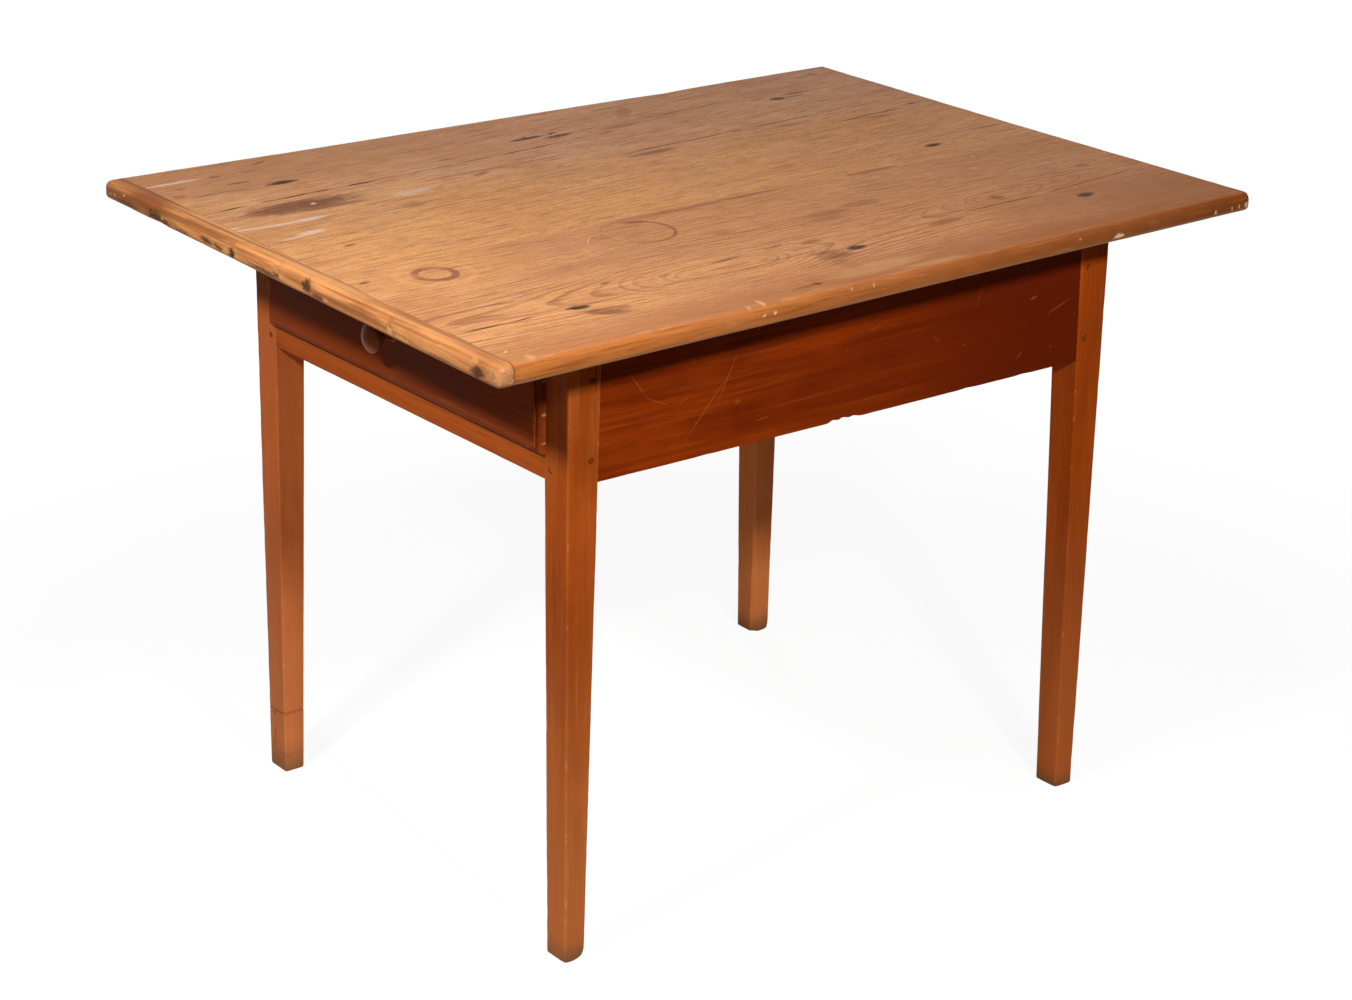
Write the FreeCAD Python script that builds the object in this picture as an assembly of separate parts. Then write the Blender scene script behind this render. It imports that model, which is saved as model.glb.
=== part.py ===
# Tavern table: nailed board top, tapered legs, pegged aprons and one lipped drawer in the end.
# Millimetres, +Z up, origin on the floor under the middle of the top, drawer at the -X end.
import FreeCAD, Part
import math
import os

from FreeCAD import Vector

# Top: two boards with a nailed strip across their ends at the drawer end
# It narrows towards the far end, and both ends are a little out of square
top_length = 1050.0
top_width = 796.0
top_far_width = 744.0
drawer_end_skew = 21.0
far_end_skew = 9.0
top_thickness = 22.0
front_board_width = 337.0
end_strip_width = 20.0
top_corner_radius = 12.0
top_upper_round = 8.0
top_lower_round = 5.0

# Height, and how far the top stands out past the legs
table_height = 720.0
end_overhang = 153.0
side_overhang = 99.0

# Legs: square, tapered on the two inner faces; one has its inner corner chamfered towards the foot
leg_top_width = 42.0
leg_foot_width = 25.5
leg_foot_depth = 33.0
leg_chamfer = 8.0
leg_chamfer_height = 220.0
tip_height = 77.0
tip_spigot_diameter = 12.0
tip_spigot_length = 28.0

# Aprons and their tenons
apron_depth = 163.0
apron_thickness = 20.0
apron_setback = 2.0
tenon_thickness = 9.0
tenon_length = 22.0
tenon_upper_shoulder = 30.0
tenon_lower_shoulder = 10.0

# Rails under and over the drawer
lower_rail_height = 33.0
lower_rail_thickness = 24.0
lower_rail_shoulder = 6.0
upper_rail_height = 22.0
upper_rail_width = 30.0
rail_setback = 1.0
rail_tail_length = 18.0
rail_tail_neck = 13.0
rail_tail_end = 19.0

# Pegs, whittled to eight sides
peg_sides = 8
peg_diameter = 6.5
peg_length = 25.0
peg_inset = 10.0
peg_lower_height = 26.0
peg_spacing = 83.0
rail_peg_height = 12.5

# Runners, guides and kickers inside the long aprons
runner_height = 20.0
runner_ledge = 17.0
runner_stub_length = 8.0
runner_stub_shoulder = 4.0
guide_height = 20.0
kicker_ledge = 15.0

# Drawer
drawer_length = 500.0
front_body_thickness = 14.0
lip_thickness = 9.0
lip_overlap = 5.0
lip_mould_width = 10.0
lip_mould_step = 1.5
lip_mould_depth = 6.5
side_thickness = 12.0
back_thickness = 12.0
back_drop = 6.0
bottom_thickness = 9.0
bottom_edge_thickness = 5.0
bottom_bevel_width = 35.0
bottom_height = 13.0
groove_depth = 5.0
tail_count = 3
tail_tip_share = 0.7
tail_root_share = 0.5
mould_arc_share = 0.293

# Knob: foot, neck, rim and dome in shares of its length and radius, from the face outwards
knob_diameter = 33.0
knob_length = 37.0
knob_tenon_diameter = 12.0
knob_foot_shares = ((0, 0.56), (0.09, 0.45), (0.32, 0.4))
knob_rim_shares = ((0.5, 0.52), (0.64, 0.87), (0.77, 1.0), (0.86, 0.84))
knob_dome_shares = ((0.96, 0.48), (1, 0))

# Nails: lengths, shank widths, and places as shares of the lengths that they follow
nail_head_share = 2.0
nail_head_thickness = 2.0
nail_tip_share = 0.4
nail_sink = 0.5
top_nail_length = 60.0
top_nail_width = 4.5
strip_nail_length = 52.0
strip_nail_width = 3.5
strip_nail_sink = 3.0
inner_nail_width = 3.0
inner_nail_bite = 14.0
bottom_nail_length = 24.0
bottom_nail_width = 2.5
leg_nail_shares = {
    (-1, -1): (-0.05, -0.26), (1, -1): (0.02, 0.05), (1, 1): (0.14, -0.33), (-1, 1): (0.02, -0.14),
}
front_apron_nail_shares = (0.019,)
back_apron_nail_shares = (-0.032, 0.068)
back_apron_nail_depth_share = 0.8
end_apron_nail_shares = (-0.06,)
strip_nail_shares = (-0.85, -0.038, 0.737)
inner_nail_shares = (-0.62, 0, 0.62)
bottom_nail_shares = (-0.7, 0, 0.7)

# Clearances and the overrun of cuts
hole_clearance = 0.15
lip_gap = 0.3
drawer_lift = 0.3
drawer_side_clearance = 0.8
drawer_top_clearance = 2.0
bottom_clearance = 0.2
overrun = 5.0
edge_tolerance = 0.001

# Derived heights
leg_height = table_height - top_thickness
apron_bottom = leg_height - apron_depth
opening_bottom = apron_bottom + lower_rail_height
opening_top = leg_height - upper_rail_height

# Derived plan places
frame_length = top_length - 2 * end_overhang
frame_width = top_width - 2 * side_overhang
half_length = frame_length / 2
half_width = frame_width / 2
seam_y = front_board_width - top_width / 2
tenon_end_x = half_length - leg_top_width + tenon_length
tenon_end_y = half_width - leg_top_width + tenon_length
apron_outer_y = half_width - apron_setback
apron_inner_y = apron_outer_y - apron_thickness
end_apron_outer_x = half_length - apron_setback
end_apron_inner_x = end_apron_outer_x - apron_thickness
rail_face_x = rail_setback - half_length
lower_rail_back_x = rail_face_x + lower_rail_thickness
upper_rail_back_x = rail_face_x + upper_rail_width
opening_half_width = half_width - leg_top_width

# Derived drawer places, closed
drawer_bottom = opening_bottom + drawer_lift
drawer_top = opening_top - drawer_top_clearance
drawer_half_width = opening_half_width - drawer_side_clearance
drawer_inner_half_width = drawer_half_width - side_thickness
lip_back_x = -half_length - lip_gap
lip_face_x = lip_back_x - lip_thickness
front_inner_x = lip_back_x + front_body_thickness
drawer_rear_x = lip_back_x + drawer_length
back_inner_x = drawer_rear_x - back_thickness
bottom_upper = drawer_bottom + bottom_height
bottom_lower = bottom_upper - bottom_edge_thickness
lip_half_width = opening_half_width + lip_overlap
lip_lower = opening_bottom - lip_overlap
lip_upper = opening_top + lip_overlap
knob_height = (lip_lower + lip_upper) / 2


def block(x0, x1, y0, y1, z0, z1):
    low = Vector(min(x0, x1), min(y0, y1), min(z0, z1))
    return Part.makeBox(abs(x1 - x0), abs(y1 - y0), abs(z1 - z0), low)


def polygon_face(points):
    return Part.Face(Part.makePolygon(points + points[:1]))


def prism(points, travel):
    return polygon_face(points).extrude(travel)


def frustum(low, high):
    faces = [polygon_face(low), polygon_face(high)]
    for i in range(len(low)):
        j = (i + 1) % len(low)
        faces.append(polygon_face([low[i], low[j], high[j], high[i]]))
    return Part.makeSolid(Part.makeShell(faces))


def pyramid(base, apex):
    faces = [polygon_face(base)]
    for i in range(len(base)):
        faces.append(polygon_face([base[i], base[(i + 1) % len(base)], apex]))
    return Part.makeSolid(Part.makeShell(faces))


def cut_all(shape, tools):
    for tool in tools:
        shape = shape.cut(tool)
    return shape


def join(shape, *others):
    return shape.fuse(list(others)).removeSplitter()


def rectangle(half_x, half_y, z):
    corners = ((-1, -1), (1, -1), (1, 1), (-1, 1))
    return [Vector(sx * half_x, sy * half_y, z) for sx, sy in corners]


# Nails point down from the middle of their head, then are turned and moved to their place
def nail_blank(length, width):
    half_head = nail_head_share * width / 2
    half_tip = nail_tip_share * width / 2
    head = block(-half_head, half_head, -half_head, half_head, -nail_head_thickness, 0)
    tip = rectangle(half_tip, half_tip, -length)
    shank = frustum(tip, rectangle(width / 2, width / 2, -nail_head_thickness))
    return join(head, shank)


def nail_pocket(length, width, sink):
    half_head = nail_head_share * width / 2
    over_head = block(-half_head, half_head, -half_head, half_head, 0, sink + overrun)
    return join(nail_blank(length, width), over_head)


def driven(shape, point, direction):
    placed = shape.copy()
    placed.Placement = FreeCAD.Placement(point, FreeCAD.Rotation(Vector(0, 0, -1), direction))
    return placed


# Legs
def leg_width_at(z):
    return leg_foot_width + (leg_top_width - leg_foot_width) * z / leg_height


def leg_depth_at(z):
    return leg_foot_depth + (leg_top_width - leg_foot_depth) * z / leg_height


def leg_outline(sx, sy, z):
    x = sx * half_length
    y = sy * half_width
    inner_x = x - sx * leg_width_at(z)
    inner_y = y - sy * leg_depth_at(z)
    return [Vector(x, y, z), Vector(inner_x, y, z), Vector(inner_x, inner_y, z), Vector(x, inner_y, z)]


def leg_blank(sx, sy):
    return frustum(leg_outline(sx, sy, 0), leg_outline(sx, sy, leg_height))


def leg_chamfer_cut(sx, sy):
    foot = leg_outline(sx, sy, 0)[2]
    apex = leg_outline(sx, sy, leg_chamfer_height)[2]
    on_faces = [foot + Vector(sx * leg_chamfer, 0, 0), foot + Vector(0, sy * leg_chamfer, 0)]
    outside = foot - Vector(sx * leg_chamfer, sy * leg_chamfer, 0)
    reach = 1 + overrun / leg_chamfer_height
    return pyramid([apex + (point - apex) * reach for point in on_faces + [outside]], apex)


def leg(sx, sy):
    mortises = [apron_tenons(sy)]
    mortises += [end_apron_tenons()] if sx > 0 else [lower_rail_tenons(), upper_rail_tail(sy)]
    holes = peg_holes() + [top_nail_pocket(*spot) for spot in top_nail_spots()]
    return cut_all(leg_blank(sx, sy), mortises + holes)


def chamfered_leg(sx, sy):
    return leg(sx, sy).cut(leg_chamfer_cut(sx, sy))


def tip_block():
    reach = frame_length + frame_width
    return block(-reach, reach, -reach, reach, -overrun, tip_height)


def tip_spigot(clearance):
    x = leg_width_at(tip_height) / 2 - half_length
    y = half_width - leg_depth_at(tip_height) / 2
    radius = tip_spigot_diameter / 2 + clearance
    return Part.makeCylinder(radius, tip_spigot_length + clearance, Vector(x, y, tip_height))


def pieced_leg(sx, sy):
    return leg(sx, sy).cut(tip_block()).cut(tip_spigot(hole_clearance))


def leg_tip(sx, sy):
    return join(leg(sx, sy).common(tip_block()), tip_spigot(0))


# Aprons
def apron_tenons(sy):
    outer = apron_outer_y - (apron_thickness - tenon_thickness) / 2
    low = apron_bottom + tenon_lower_shoulder
    high = leg_height - tenon_upper_shoulder
    return block(-tenon_end_x, tenon_end_x, sy * outer, sy * (outer - tenon_thickness), low, high)


def end_apron_tenons():
    outer = end_apron_outer_x - (apron_thickness - tenon_thickness) / 2
    low = apron_bottom + tenon_lower_shoulder
    high = leg_height - tenon_upper_shoulder
    return block(outer - tenon_thickness, outer, -tenon_end_y, tenon_end_y, low, high)


def long_apron(sy):
    reach = half_length - leg_foot_width / 2
    board = block(-reach, reach, sy * apron_outer_y, sy * apron_inner_y, apron_bottom, leg_height)
    board = cut_all(board, [leg_blank(-1, sy), leg_blank(1, sy)])
    board = join(board, apron_tenons(sy))
    nails = [top_nail_pocket(*spot) for spot in top_nail_spots()]
    return cut_all(board, peg_holes() + nails + inner_nail_holes(sy))


def end_apron():
    reach = half_width - leg_foot_depth / 2
    board = block(end_apron_inner_x, end_apron_outer_x, -reach, reach, apron_bottom, leg_height)
    board = cut_all(board, [leg_blank(1, -1), leg_blank(1, 1)])
    board = join(board, end_apron_tenons())
    return cut_all(board, peg_holes() + [top_nail_pocket(*spot) for spot in top_nail_spots()])


# Rails round the drawer opening
def lower_rail_tenons():
    front = rail_face_x + (lower_rail_thickness - tenon_thickness) / 2
    low = apron_bottom + lower_rail_shoulder
    high = opening_bottom - lower_rail_shoulder
    return block(front, front + tenon_thickness, -tenon_end_y, tenon_end_y, low, high)


def lower_rail():
    reach = half_width - leg_foot_depth / 2
    rail = block(rail_face_x, lower_rail_back_x, -reach, reach, apron_bottom, opening_bottom)
    rail = cut_all(rail, [leg_blank(-1, -1), leg_blank(-1, 1)])
    rail = join(rail, lower_rail_tenons())
    return cut_all(rail, peg_holes() + [runner_stub(-1), runner_stub(1)])


def upper_rail_tail(sy):
    middle = rail_face_x + upper_rail_width / 2
    neck_y = sy * (opening_half_width - rail_tail_length)
    end_y = sy * (opening_half_width + rail_tail_length)
    spread = rail_tail_end - rail_tail_neck
    neck = (rail_tail_neck - spread) / 2
    points = [(-neck, neck_y), (neck, neck_y), (rail_tail_end / 2, end_y), (-rail_tail_end / 2, end_y)]
    return prism([Vector(middle + x, y, opening_top) for x, y in points], Vector(0, 0, upper_rail_height))


def upper_rail():
    reach = half_width - leg_foot_depth / 2
    rail = block(rail_face_x, upper_rail_back_x, -reach, reach, opening_top, leg_height)
    rail = cut_all(rail, [leg_blank(-1, -1), leg_blank(-1, 1)])
    rail = join(rail, upper_rail_tail(-1), upper_rail_tail(1))
    return cut_all(rail, [top_nail_pocket(*spot) for spot in top_nail_spots()])


# Pegs
def peg_spots():
    lower = apron_bottom + peg_lower_height
    spots = {"apron": [], "end_apron": [], "rail": []}
    for sx, sy in ((-1, -1), (1, -1), (1, 1), (-1, 1)):
        for z in (lower, lower + peg_spacing):
            side = Vector(sx * (half_length - leg_width_at(z) + peg_inset), sy * half_width, z)
            end = Vector(half_length, sy * (half_width - leg_depth_at(z) + peg_inset), z)
            spots["apron"].append((side, Vector(0, -sy, 0)))
            if sx > 0:
                spots["end_apron"].append((end, Vector(-1, 0, 0)))
        if sx < 0:
            z = apron_bottom + rail_peg_height
            place = Vector(-half_length, sy * (half_width - leg_depth_at(z) + peg_inset), z)
            spots["rail"].append((place, Vector(1, 0, 0)))
    return spots


def peg_rod(clearance):
    radius = peg_diameter / 2 + clearance
    turns = [2 * math.pi * (i + 0.5) / peg_sides for i in range(peg_sides)]
    points = [Vector(radius * math.cos(turn), radius * math.sin(turn), 0) for turn in turns]
    return prism(points, Vector(0, 0, -peg_length - clearance))


def pegs(kind):
    return Part.makeCompound([driven(peg_rod(0), *spot) for spot in peg_spots()[kind]])


def peg_holes():
    spots = [spot for kind in peg_spots().values() for spot in kind]
    return [driven(peg_rod(hole_clearance), *spot) for spot in spots]


# Top
def top_edges(plate, z):
    return [e for e in plate.Edges if all(abs(v.Z - z) < edge_tolerance for v in e.Vertexes)]


def top_outline(z):
    x = top_length / 2
    y = top_width / 2
    far_y = top_far_width / 2
    return [Vector(-x, -y, z), Vector(x - far_end_skew, -far_y, z), Vector(x, far_y, z),
            Vector(drawer_end_skew - x, y, z)]


def drawer_end_x(y):
    return drawer_end_skew * (y / top_width + 1 / 2) - top_length / 2


def strip_seam(y):
    return (drawer_end_x(y) + end_strip_width, y)


def top_blank():
    plate = prism(top_outline(leg_height), Vector(0, 0, top_thickness))
    flat = top_edges(plate, leg_height) + top_edges(plate, table_height)
    upright = [e for e in plate.Edges if not any(e.isSame(other) for other in flat)]
    plate = plate.makeFillet(top_corner_radius, upright)
    plate = plate.makeFillet(top_upper_round, top_edges(plate, table_height))
    return plate.makeFillet(top_lower_round, top_edges(plate, leg_height))


def top_piece(outline):
    points = [Vector(x, y, leg_height - overrun) for x, y in outline]
    region = prism(points, Vector(0, 0, top_thickness + 2 * overrun))
    pockets = [top_nail_pocket(*spot) for spot in top_nail_spots()]
    pockets += [strip_nail_pocket(*spot) for spot in strip_nail_spots()]
    return cut_all(top_blank().common(region), pockets)


def front_board():
    far = [(top_length, -top_width), (top_length, seam_y)]
    return top_piece([strip_seam(-top_width)] + far + [strip_seam(seam_y)])


def back_board():
    far = [(top_length, seam_y), (top_length, top_width)]
    return top_piece([strip_seam(seam_y)] + far + [strip_seam(top_width)])


def end_strip():
    ends = [strip_seam(-top_width), strip_seam(top_width)]
    return top_piece([(-top_length, -top_width)] + ends + [(-top_length, top_width)])


# Nails that hold the top down on the legs and aprons
def top_nail_spots():
    z = table_height - nail_sink
    leg_middle_x = half_length - leg_top_width / 2
    leg_middle_y = half_width - leg_top_width / 2
    places = []
    for (sx, sy), (share_x, share_y) in leg_nail_shares.items():
        x = sx * leg_middle_x + share_x * leg_top_width
        y = sy * leg_middle_y + share_y * leg_top_width
        places.append((x, y))
    middle_y = (apron_outer_y + apron_inner_y) / 2
    back_y = apron_outer_y - back_apron_nail_depth_share * apron_thickness
    middle_x = (end_apron_outer_x + end_apron_inner_x) / 2
    places += [(share * half_length, -middle_y) for share in front_apron_nail_shares]
    places += [(share * half_length, back_y) for share in back_apron_nail_shares]
    places += [(middle_x, share * half_width) for share in end_apron_nail_shares]
    return [(Vector(x, y, z), Vector(0, 0, -1)) for x, y in places]


def top_nail_pocket(point, direction):
    return driven(nail_pocket(top_nail_length, top_nail_width, nail_sink), point, direction)


def top_nails():
    nail = nail_blank(top_nail_length, top_nail_width)
    return Part.makeCompound([driven(nail, *spot) for spot in top_nail_spots()])


# Nails through the end strip into the boards
def strip_nail_spots():
    z = table_height - top_thickness / 2
    rows = [share * top_width / 2 for share in strip_nail_shares]
    return [(Vector(drawer_end_x(y) + strip_nail_sink, y, z), Vector(1, 0, 0)) for y in rows]


def strip_nail_pocket(point, direction):
    return driven(nail_pocket(strip_nail_length, strip_nail_width, strip_nail_sink), point, direction)


def strip_nails():
    nail = nail_blank(strip_nail_length, strip_nail_width)
    return Part.makeCompound([driven(nail, *spot) for spot in strip_nail_spots()])


# Runners with guides, and kickers above the drawer sides
def runner_stub(sy):
    low = opening_bottom - runner_height + runner_stub_shoulder
    high = opening_bottom - runner_stub_shoulder
    inner = opening_half_width - runner_ledge
    front = lower_rail_back_x - runner_stub_length
    return block(front, lower_rail_back_x + overrun, sy * inner, sy * opening_half_width, low, high)


def runner(sy):
    low = opening_bottom - runner_height
    inner = opening_half_width - runner_ledge
    strip = block(lower_rail_back_x, end_apron_inner_x, sy * inner, sy * apron_inner_y, low, opening_bottom)
    strip = cut_all(strip, [leg_blank(-1, sy), leg_blank(1, sy)])
    reach = half_length - leg_top_width
    high = opening_bottom + guide_height
    guide = block(-reach, reach, sy * opening_half_width, sy * apron_inner_y, opening_bottom, high)
    return cut_all(join(strip, guide, runner_stub(sy)), inner_nail_holes(sy))


def kicker(sy):
    inner = opening_half_width - kicker_ledge
    strip = block(upper_rail_back_x, end_apron_inner_x, sy * inner, sy * apron_inner_y, opening_top, leg_height)
    return cut_all(strip, [leg_blank(-1, sy), leg_blank(1, sy)] + inner_nail_holes(sy))


def inner_nail_rows(sy):
    guide_z = opening_bottom + guide_height / 2
    kicker_z = opening_top + upper_rail_height / 2
    rows = ((opening_half_width, guide_z), (opening_half_width - kicker_ledge, kicker_z))
    for face_y, z in rows:
        length = apron_inner_y - face_y + inner_nail_bite
        for share in inner_nail_shares:
            spot = Vector(share * half_length, sy * (face_y + nail_sink), z)
            yield length, spot, Vector(0, sy, 0)


def inner_nails(sy):
    return [driven(nail_blank(n, inner_nail_width), *spot) for n, *spot in inner_nail_rows(sy)]


def inner_nail_holes(sy):
    return [driven(nail_pocket(n, inner_nail_width, nail_sink), *spot) for n, *spot in inner_nail_rows(sy)]


# Drawer
def tails(root_x, tip_x, sy, low, high):
    pitch = (high - low) / tail_count
    shapes = []
    for i in range(tail_count):
        middle = low + pitch * (i + 0.5)
        root = pitch * tail_root_share / 2
        tip = pitch * tail_tip_share / 2
        points = [(root_x, -root), (tip_x, -tip), (tip_x, tip), (root_x, root)]
        outline = [Vector(x, sy * drawer_inner_half_width, middle + z) for x, z in points]
        shapes.append(prism(outline, Vector(0, sy * side_thickness, 0)))
    return shapes


def front_tails(sy):
    return tails(front_inner_x, lip_back_x, sy, drawer_bottom, drawer_top)


def back_tails(sy):
    return tails(back_inner_x, drawer_rear_x, sy, bottom_upper, drawer_top - back_drop)


def bottom_groove():
    half = drawer_inner_half_width + groove_depth
    front = front_inner_x - groove_depth
    return block(front, drawer_rear_x + overrun, -half, half, bottom_lower, bottom_upper)


def drawer_side(sy):
    inner = sy * drawer_inner_half_width
    outer = sy * drawer_half_width
    side = block(front_inner_x, drawer_rear_x, inner, outer, drawer_bottom, drawer_top)
    rear = block(back_inner_x, drawer_rear_x + overrun, inner, outer, bottom_upper, drawer_top + overrun)
    side = join(side.cut(rear), *front_tails(sy), *back_tails(sy))
    return side.cut(bottom_groove())


def lip_mould_cut(rim, inward, along):
    back = Vector(1, 0, 0)
    drop = lip_mould_depth - lip_mould_step
    places = {
        "outer": (-overrun, -overrun),
        "inner": (lip_mould_width, -overrun),
        "step": (lip_mould_width, lip_mould_step),
        "swell": (lip_mould_width * mould_arc_share, lip_mould_step + drop * mould_arc_share),
        "edge": (0, lip_mould_depth),
        "clear": (-overrun, lip_mould_depth),
    }
    at = {name: rim + inward * u + back * v for name, (u, v) in places.items()}
    lines = [("clear", "outer"), ("outer", "inner"), ("inner", "step")]
    edges = [Part.LineSegment(at[a], at[b]).toShape() for a, b in lines]
    edges.append(Part.Arc(at["step"], at["swell"], at["edge"]).toShape())
    edges.append(Part.LineSegment(at["edge"], at["clear"]).toShape())
    return Part.Face(Part.Wire(edges)).extrude(along)


def lip_mould_cuts():
    width = 2 * (lip_half_width + overrun)
    height = lip_upper - lip_lower + 2 * overrun
    cuts = []
    for s in (-1, 1):
        side = Vector(lip_face_x, s * lip_half_width, lip_lower - overrun)
        cuts.append(lip_mould_cut(side, Vector(0, -s, 0), Vector(0, 0, height)))
    for z, s in ((lip_lower, 1), (lip_upper, -1)):
        edge = Vector(lip_face_x, -lip_half_width - overrun, z)
        cuts.append(lip_mould_cut(edge, Vector(0, 0, s), Vector(0, width, 0)))
    return cuts


def drawer_front():
    body = block(lip_back_x, front_inner_x, -drawer_half_width, drawer_half_width, drawer_bottom, drawer_top)
    lip = block(lip_face_x, lip_back_x, -lip_half_width, lip_half_width, lip_lower, lip_upper)
    sockets = front_tails(-1) + front_tails(1) + [bottom_groove(), knob_hole()]
    return cut_all(join(body, lip), lip_mould_cuts() + sockets)


def drawer_back():
    high = drawer_top - back_drop
    board = block(back_inner_x, drawer_rear_x, -drawer_half_width, drawer_half_width, bottom_upper, high)
    return cut_all(board, back_tails(-1) + back_tails(1) + bottom_nail_holes())


def drawer_bottom_panel():
    half = drawer_inner_half_width + groove_depth - bottom_clearance
    front = front_inner_x - groove_depth + bottom_clearance
    low = bottom_lower + bottom_clearance
    tongue = block(front, drawer_rear_x, -half, half, low, bottom_upper)
    field_half = drawer_inner_half_width - bottom_clearance
    field_front = front_inner_x + bottom_clearance
    field_low = bottom_upper - bottom_thickness
    upper = panel_outline(field_front, field_half, low)
    lower = panel_outline(field_front + bottom_bevel_width, field_half - bottom_bevel_width, field_low)
    return cut_all(join(tongue, frustum(lower, upper)), bottom_nail_holes())


def panel_outline(front, half, z):
    return [Vector(front, -half, z), Vector(drawer_rear_x, -half, z), Vector(drawer_rear_x, half, z),
            Vector(front, half, z)]


def bottom_nail_spots():
    x = (back_inner_x + drawer_rear_x) / 2
    reach = drawer_inner_half_width - bottom_bevel_width
    z = bottom_upper - bottom_thickness + nail_sink
    return [(Vector(x, share * reach, z), Vector(0, 0, 1)) for share in bottom_nail_shares]


def bottom_nails():
    nail = nail_blank(bottom_nail_length, bottom_nail_width)
    return Part.makeCompound([driven(nail, *spot) for spot in bottom_nail_spots()])


def bottom_nail_holes():
    pocket = nail_pocket(bottom_nail_length, bottom_nail_width, nail_sink)
    return [driven(pocket, *spot) for spot in bottom_nail_spots()]


# Knob turned in one piece with the tenon that passes through the drawer front
def knob_hole():
    reach = Vector(lip_face_x - overrun, 0, knob_height)
    depth = lip_thickness + front_body_thickness + 2 * overrun
    return Part.makeCylinder(knob_tenon_diameter / 2 + hole_clearance, depth, reach, Vector(1, 0, 0))


def knob_point(along, radius):
    return Vector(lip_face_x - along, 0, knob_height + radius)


def knob():
    shares = knob_foot_shares + knob_rim_shares + knob_dome_shares
    at = [knob_point(along * knob_length, out * knob_diameter / 2) for along, out in shares]
    base = knob_point(0, 0)
    edges = [Part.LineSegment(a, b).toShape() for a, b in zip([base] + at, at + [base])]
    head = Part.Face(Part.Wire(edges)).revolve(base, Vector(1, 0, 0), 360)
    depth = lip_thickness + front_body_thickness
    tenon = Part.makeCylinder(knob_tenon_diameter / 2, depth, base, Vector(1, 0, 0))
    return join(head, tenon)


nodes = {
    "top_board_front": front_board(),
    "top_board_back": back_board(),
    "top_end_strip": end_strip(),
    "top_nails": top_nails(),
    "end_strip_nails": strip_nails(),
    "leg_front_left": leg(-1, -1),
    "leg_front_right": leg(1, -1),
    "leg_back_right": chamfered_leg(1, 1),
    "leg_back_left": pieced_leg(-1, 1),
    "leg_tip_back_left": leg_tip(-1, 1),
    "apron_front": long_apron(-1),
    "apron_back": long_apron(1),
    "apron_end": end_apron(),
    "drawer_rail_lower": lower_rail(),
    "drawer_rail_upper": upper_rail(),
    "apron_pegs": pegs("apron"),
    "end_apron_pegs": pegs("end_apron"),
    "rail_pegs": pegs("rail"),
    "runner_front": runner(-1),
    "runner_back": runner(1),
    "kicker_front": kicker(-1),
    "kicker_back": kicker(1),
    "runner_nails": Part.makeCompound(inner_nails(-1) + inner_nails(1)),
    "drawer_front": drawer_front(),
    "drawer_side_front": drawer_side(-1),
    "drawer_side_back": drawer_side(1),
    "drawer_back": drawer_back(),
    "drawer_bottom": drawer_bottom_panel(),
    "drawer_bottom_nails": bottom_nails(),
    "drawer_knob": knob(),
}

os.makedirs("parts", exist_ok=True)
for name, shape in nodes.items():
    shape.exportStep(os.path.join("parts", name + ".step"))
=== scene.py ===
import math
import bmesh
import bpy
from mathutils import Matrix, Vector, noise


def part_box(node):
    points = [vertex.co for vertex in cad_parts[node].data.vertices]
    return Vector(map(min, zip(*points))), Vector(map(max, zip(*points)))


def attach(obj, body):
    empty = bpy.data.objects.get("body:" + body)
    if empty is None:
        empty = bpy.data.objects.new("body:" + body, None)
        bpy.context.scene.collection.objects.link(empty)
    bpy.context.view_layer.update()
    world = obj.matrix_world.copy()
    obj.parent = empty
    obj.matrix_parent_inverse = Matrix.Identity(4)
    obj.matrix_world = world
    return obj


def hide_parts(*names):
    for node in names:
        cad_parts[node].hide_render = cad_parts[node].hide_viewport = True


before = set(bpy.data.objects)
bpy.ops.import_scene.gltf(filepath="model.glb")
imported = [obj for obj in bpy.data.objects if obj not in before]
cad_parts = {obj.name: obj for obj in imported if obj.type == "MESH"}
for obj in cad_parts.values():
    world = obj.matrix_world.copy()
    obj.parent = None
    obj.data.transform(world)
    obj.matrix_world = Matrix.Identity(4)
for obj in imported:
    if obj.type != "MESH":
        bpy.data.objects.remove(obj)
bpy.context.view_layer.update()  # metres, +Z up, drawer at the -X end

mm = 0.001
print("frame loaded:", len(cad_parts), "nodes")


# small numeric helpers
def clamp(value, low=0.0, high=1.0):
    return max(low, min(high, value))


def ease(start, end, value):
    t = clamp((value - start) / (end - start))
    return t * t * (3 - 2 * t)


def wander(seed, x, y=0.0, z=0.0):  # smooth noise, about -1 to 1
    return noise.noise(Vector((x + seed * 17.31, y - seed * 9.77, z + seed * 5.13)))


def alongTrack(points, x):  # height of a bent line at x, flat past its ends
    if x <= points[0][0]:
        return points[0][1]
    for (x0, y0), (x1, y1) in zip(points, points[1:]):
        if x <= x1:
            return y0 + (y1 - y0) * (x - x0) / (x1 - x0)
    return points[-1][1]


def steps(start, end, size):
    count = max(1, round(abs(end - start) / size))
    return [start + (end - start) * i / count for i in range(count + 1)]


# mesh helpers
def loft(sections):
    count = len(sections[0])
    verts = [point for section in sections for point in section]
    faces = []
    for i in range(len(sections) - 1):
        for j in range(count):
            k = (j + 1) % count
            faces.append((i * count + j, i * count + k, (i + 1) * count + k, (i + 1) * count + j))
    last = (len(sections) - 1) * count
    faces.append(tuple(reversed(range(count))))
    faces.append(tuple(range(last, last + count)))
    return verts, faces


def loftAll(rods):  # several separate lofts as one mesh
    verts, faces = [], []
    for sections in rods:
        rodVerts, rodFaces = loft(sections)
        faces += [tuple(i + len(verts) for i in face) for face in rodFaces]
        verts += rodVerts
    return verts, faces


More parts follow.
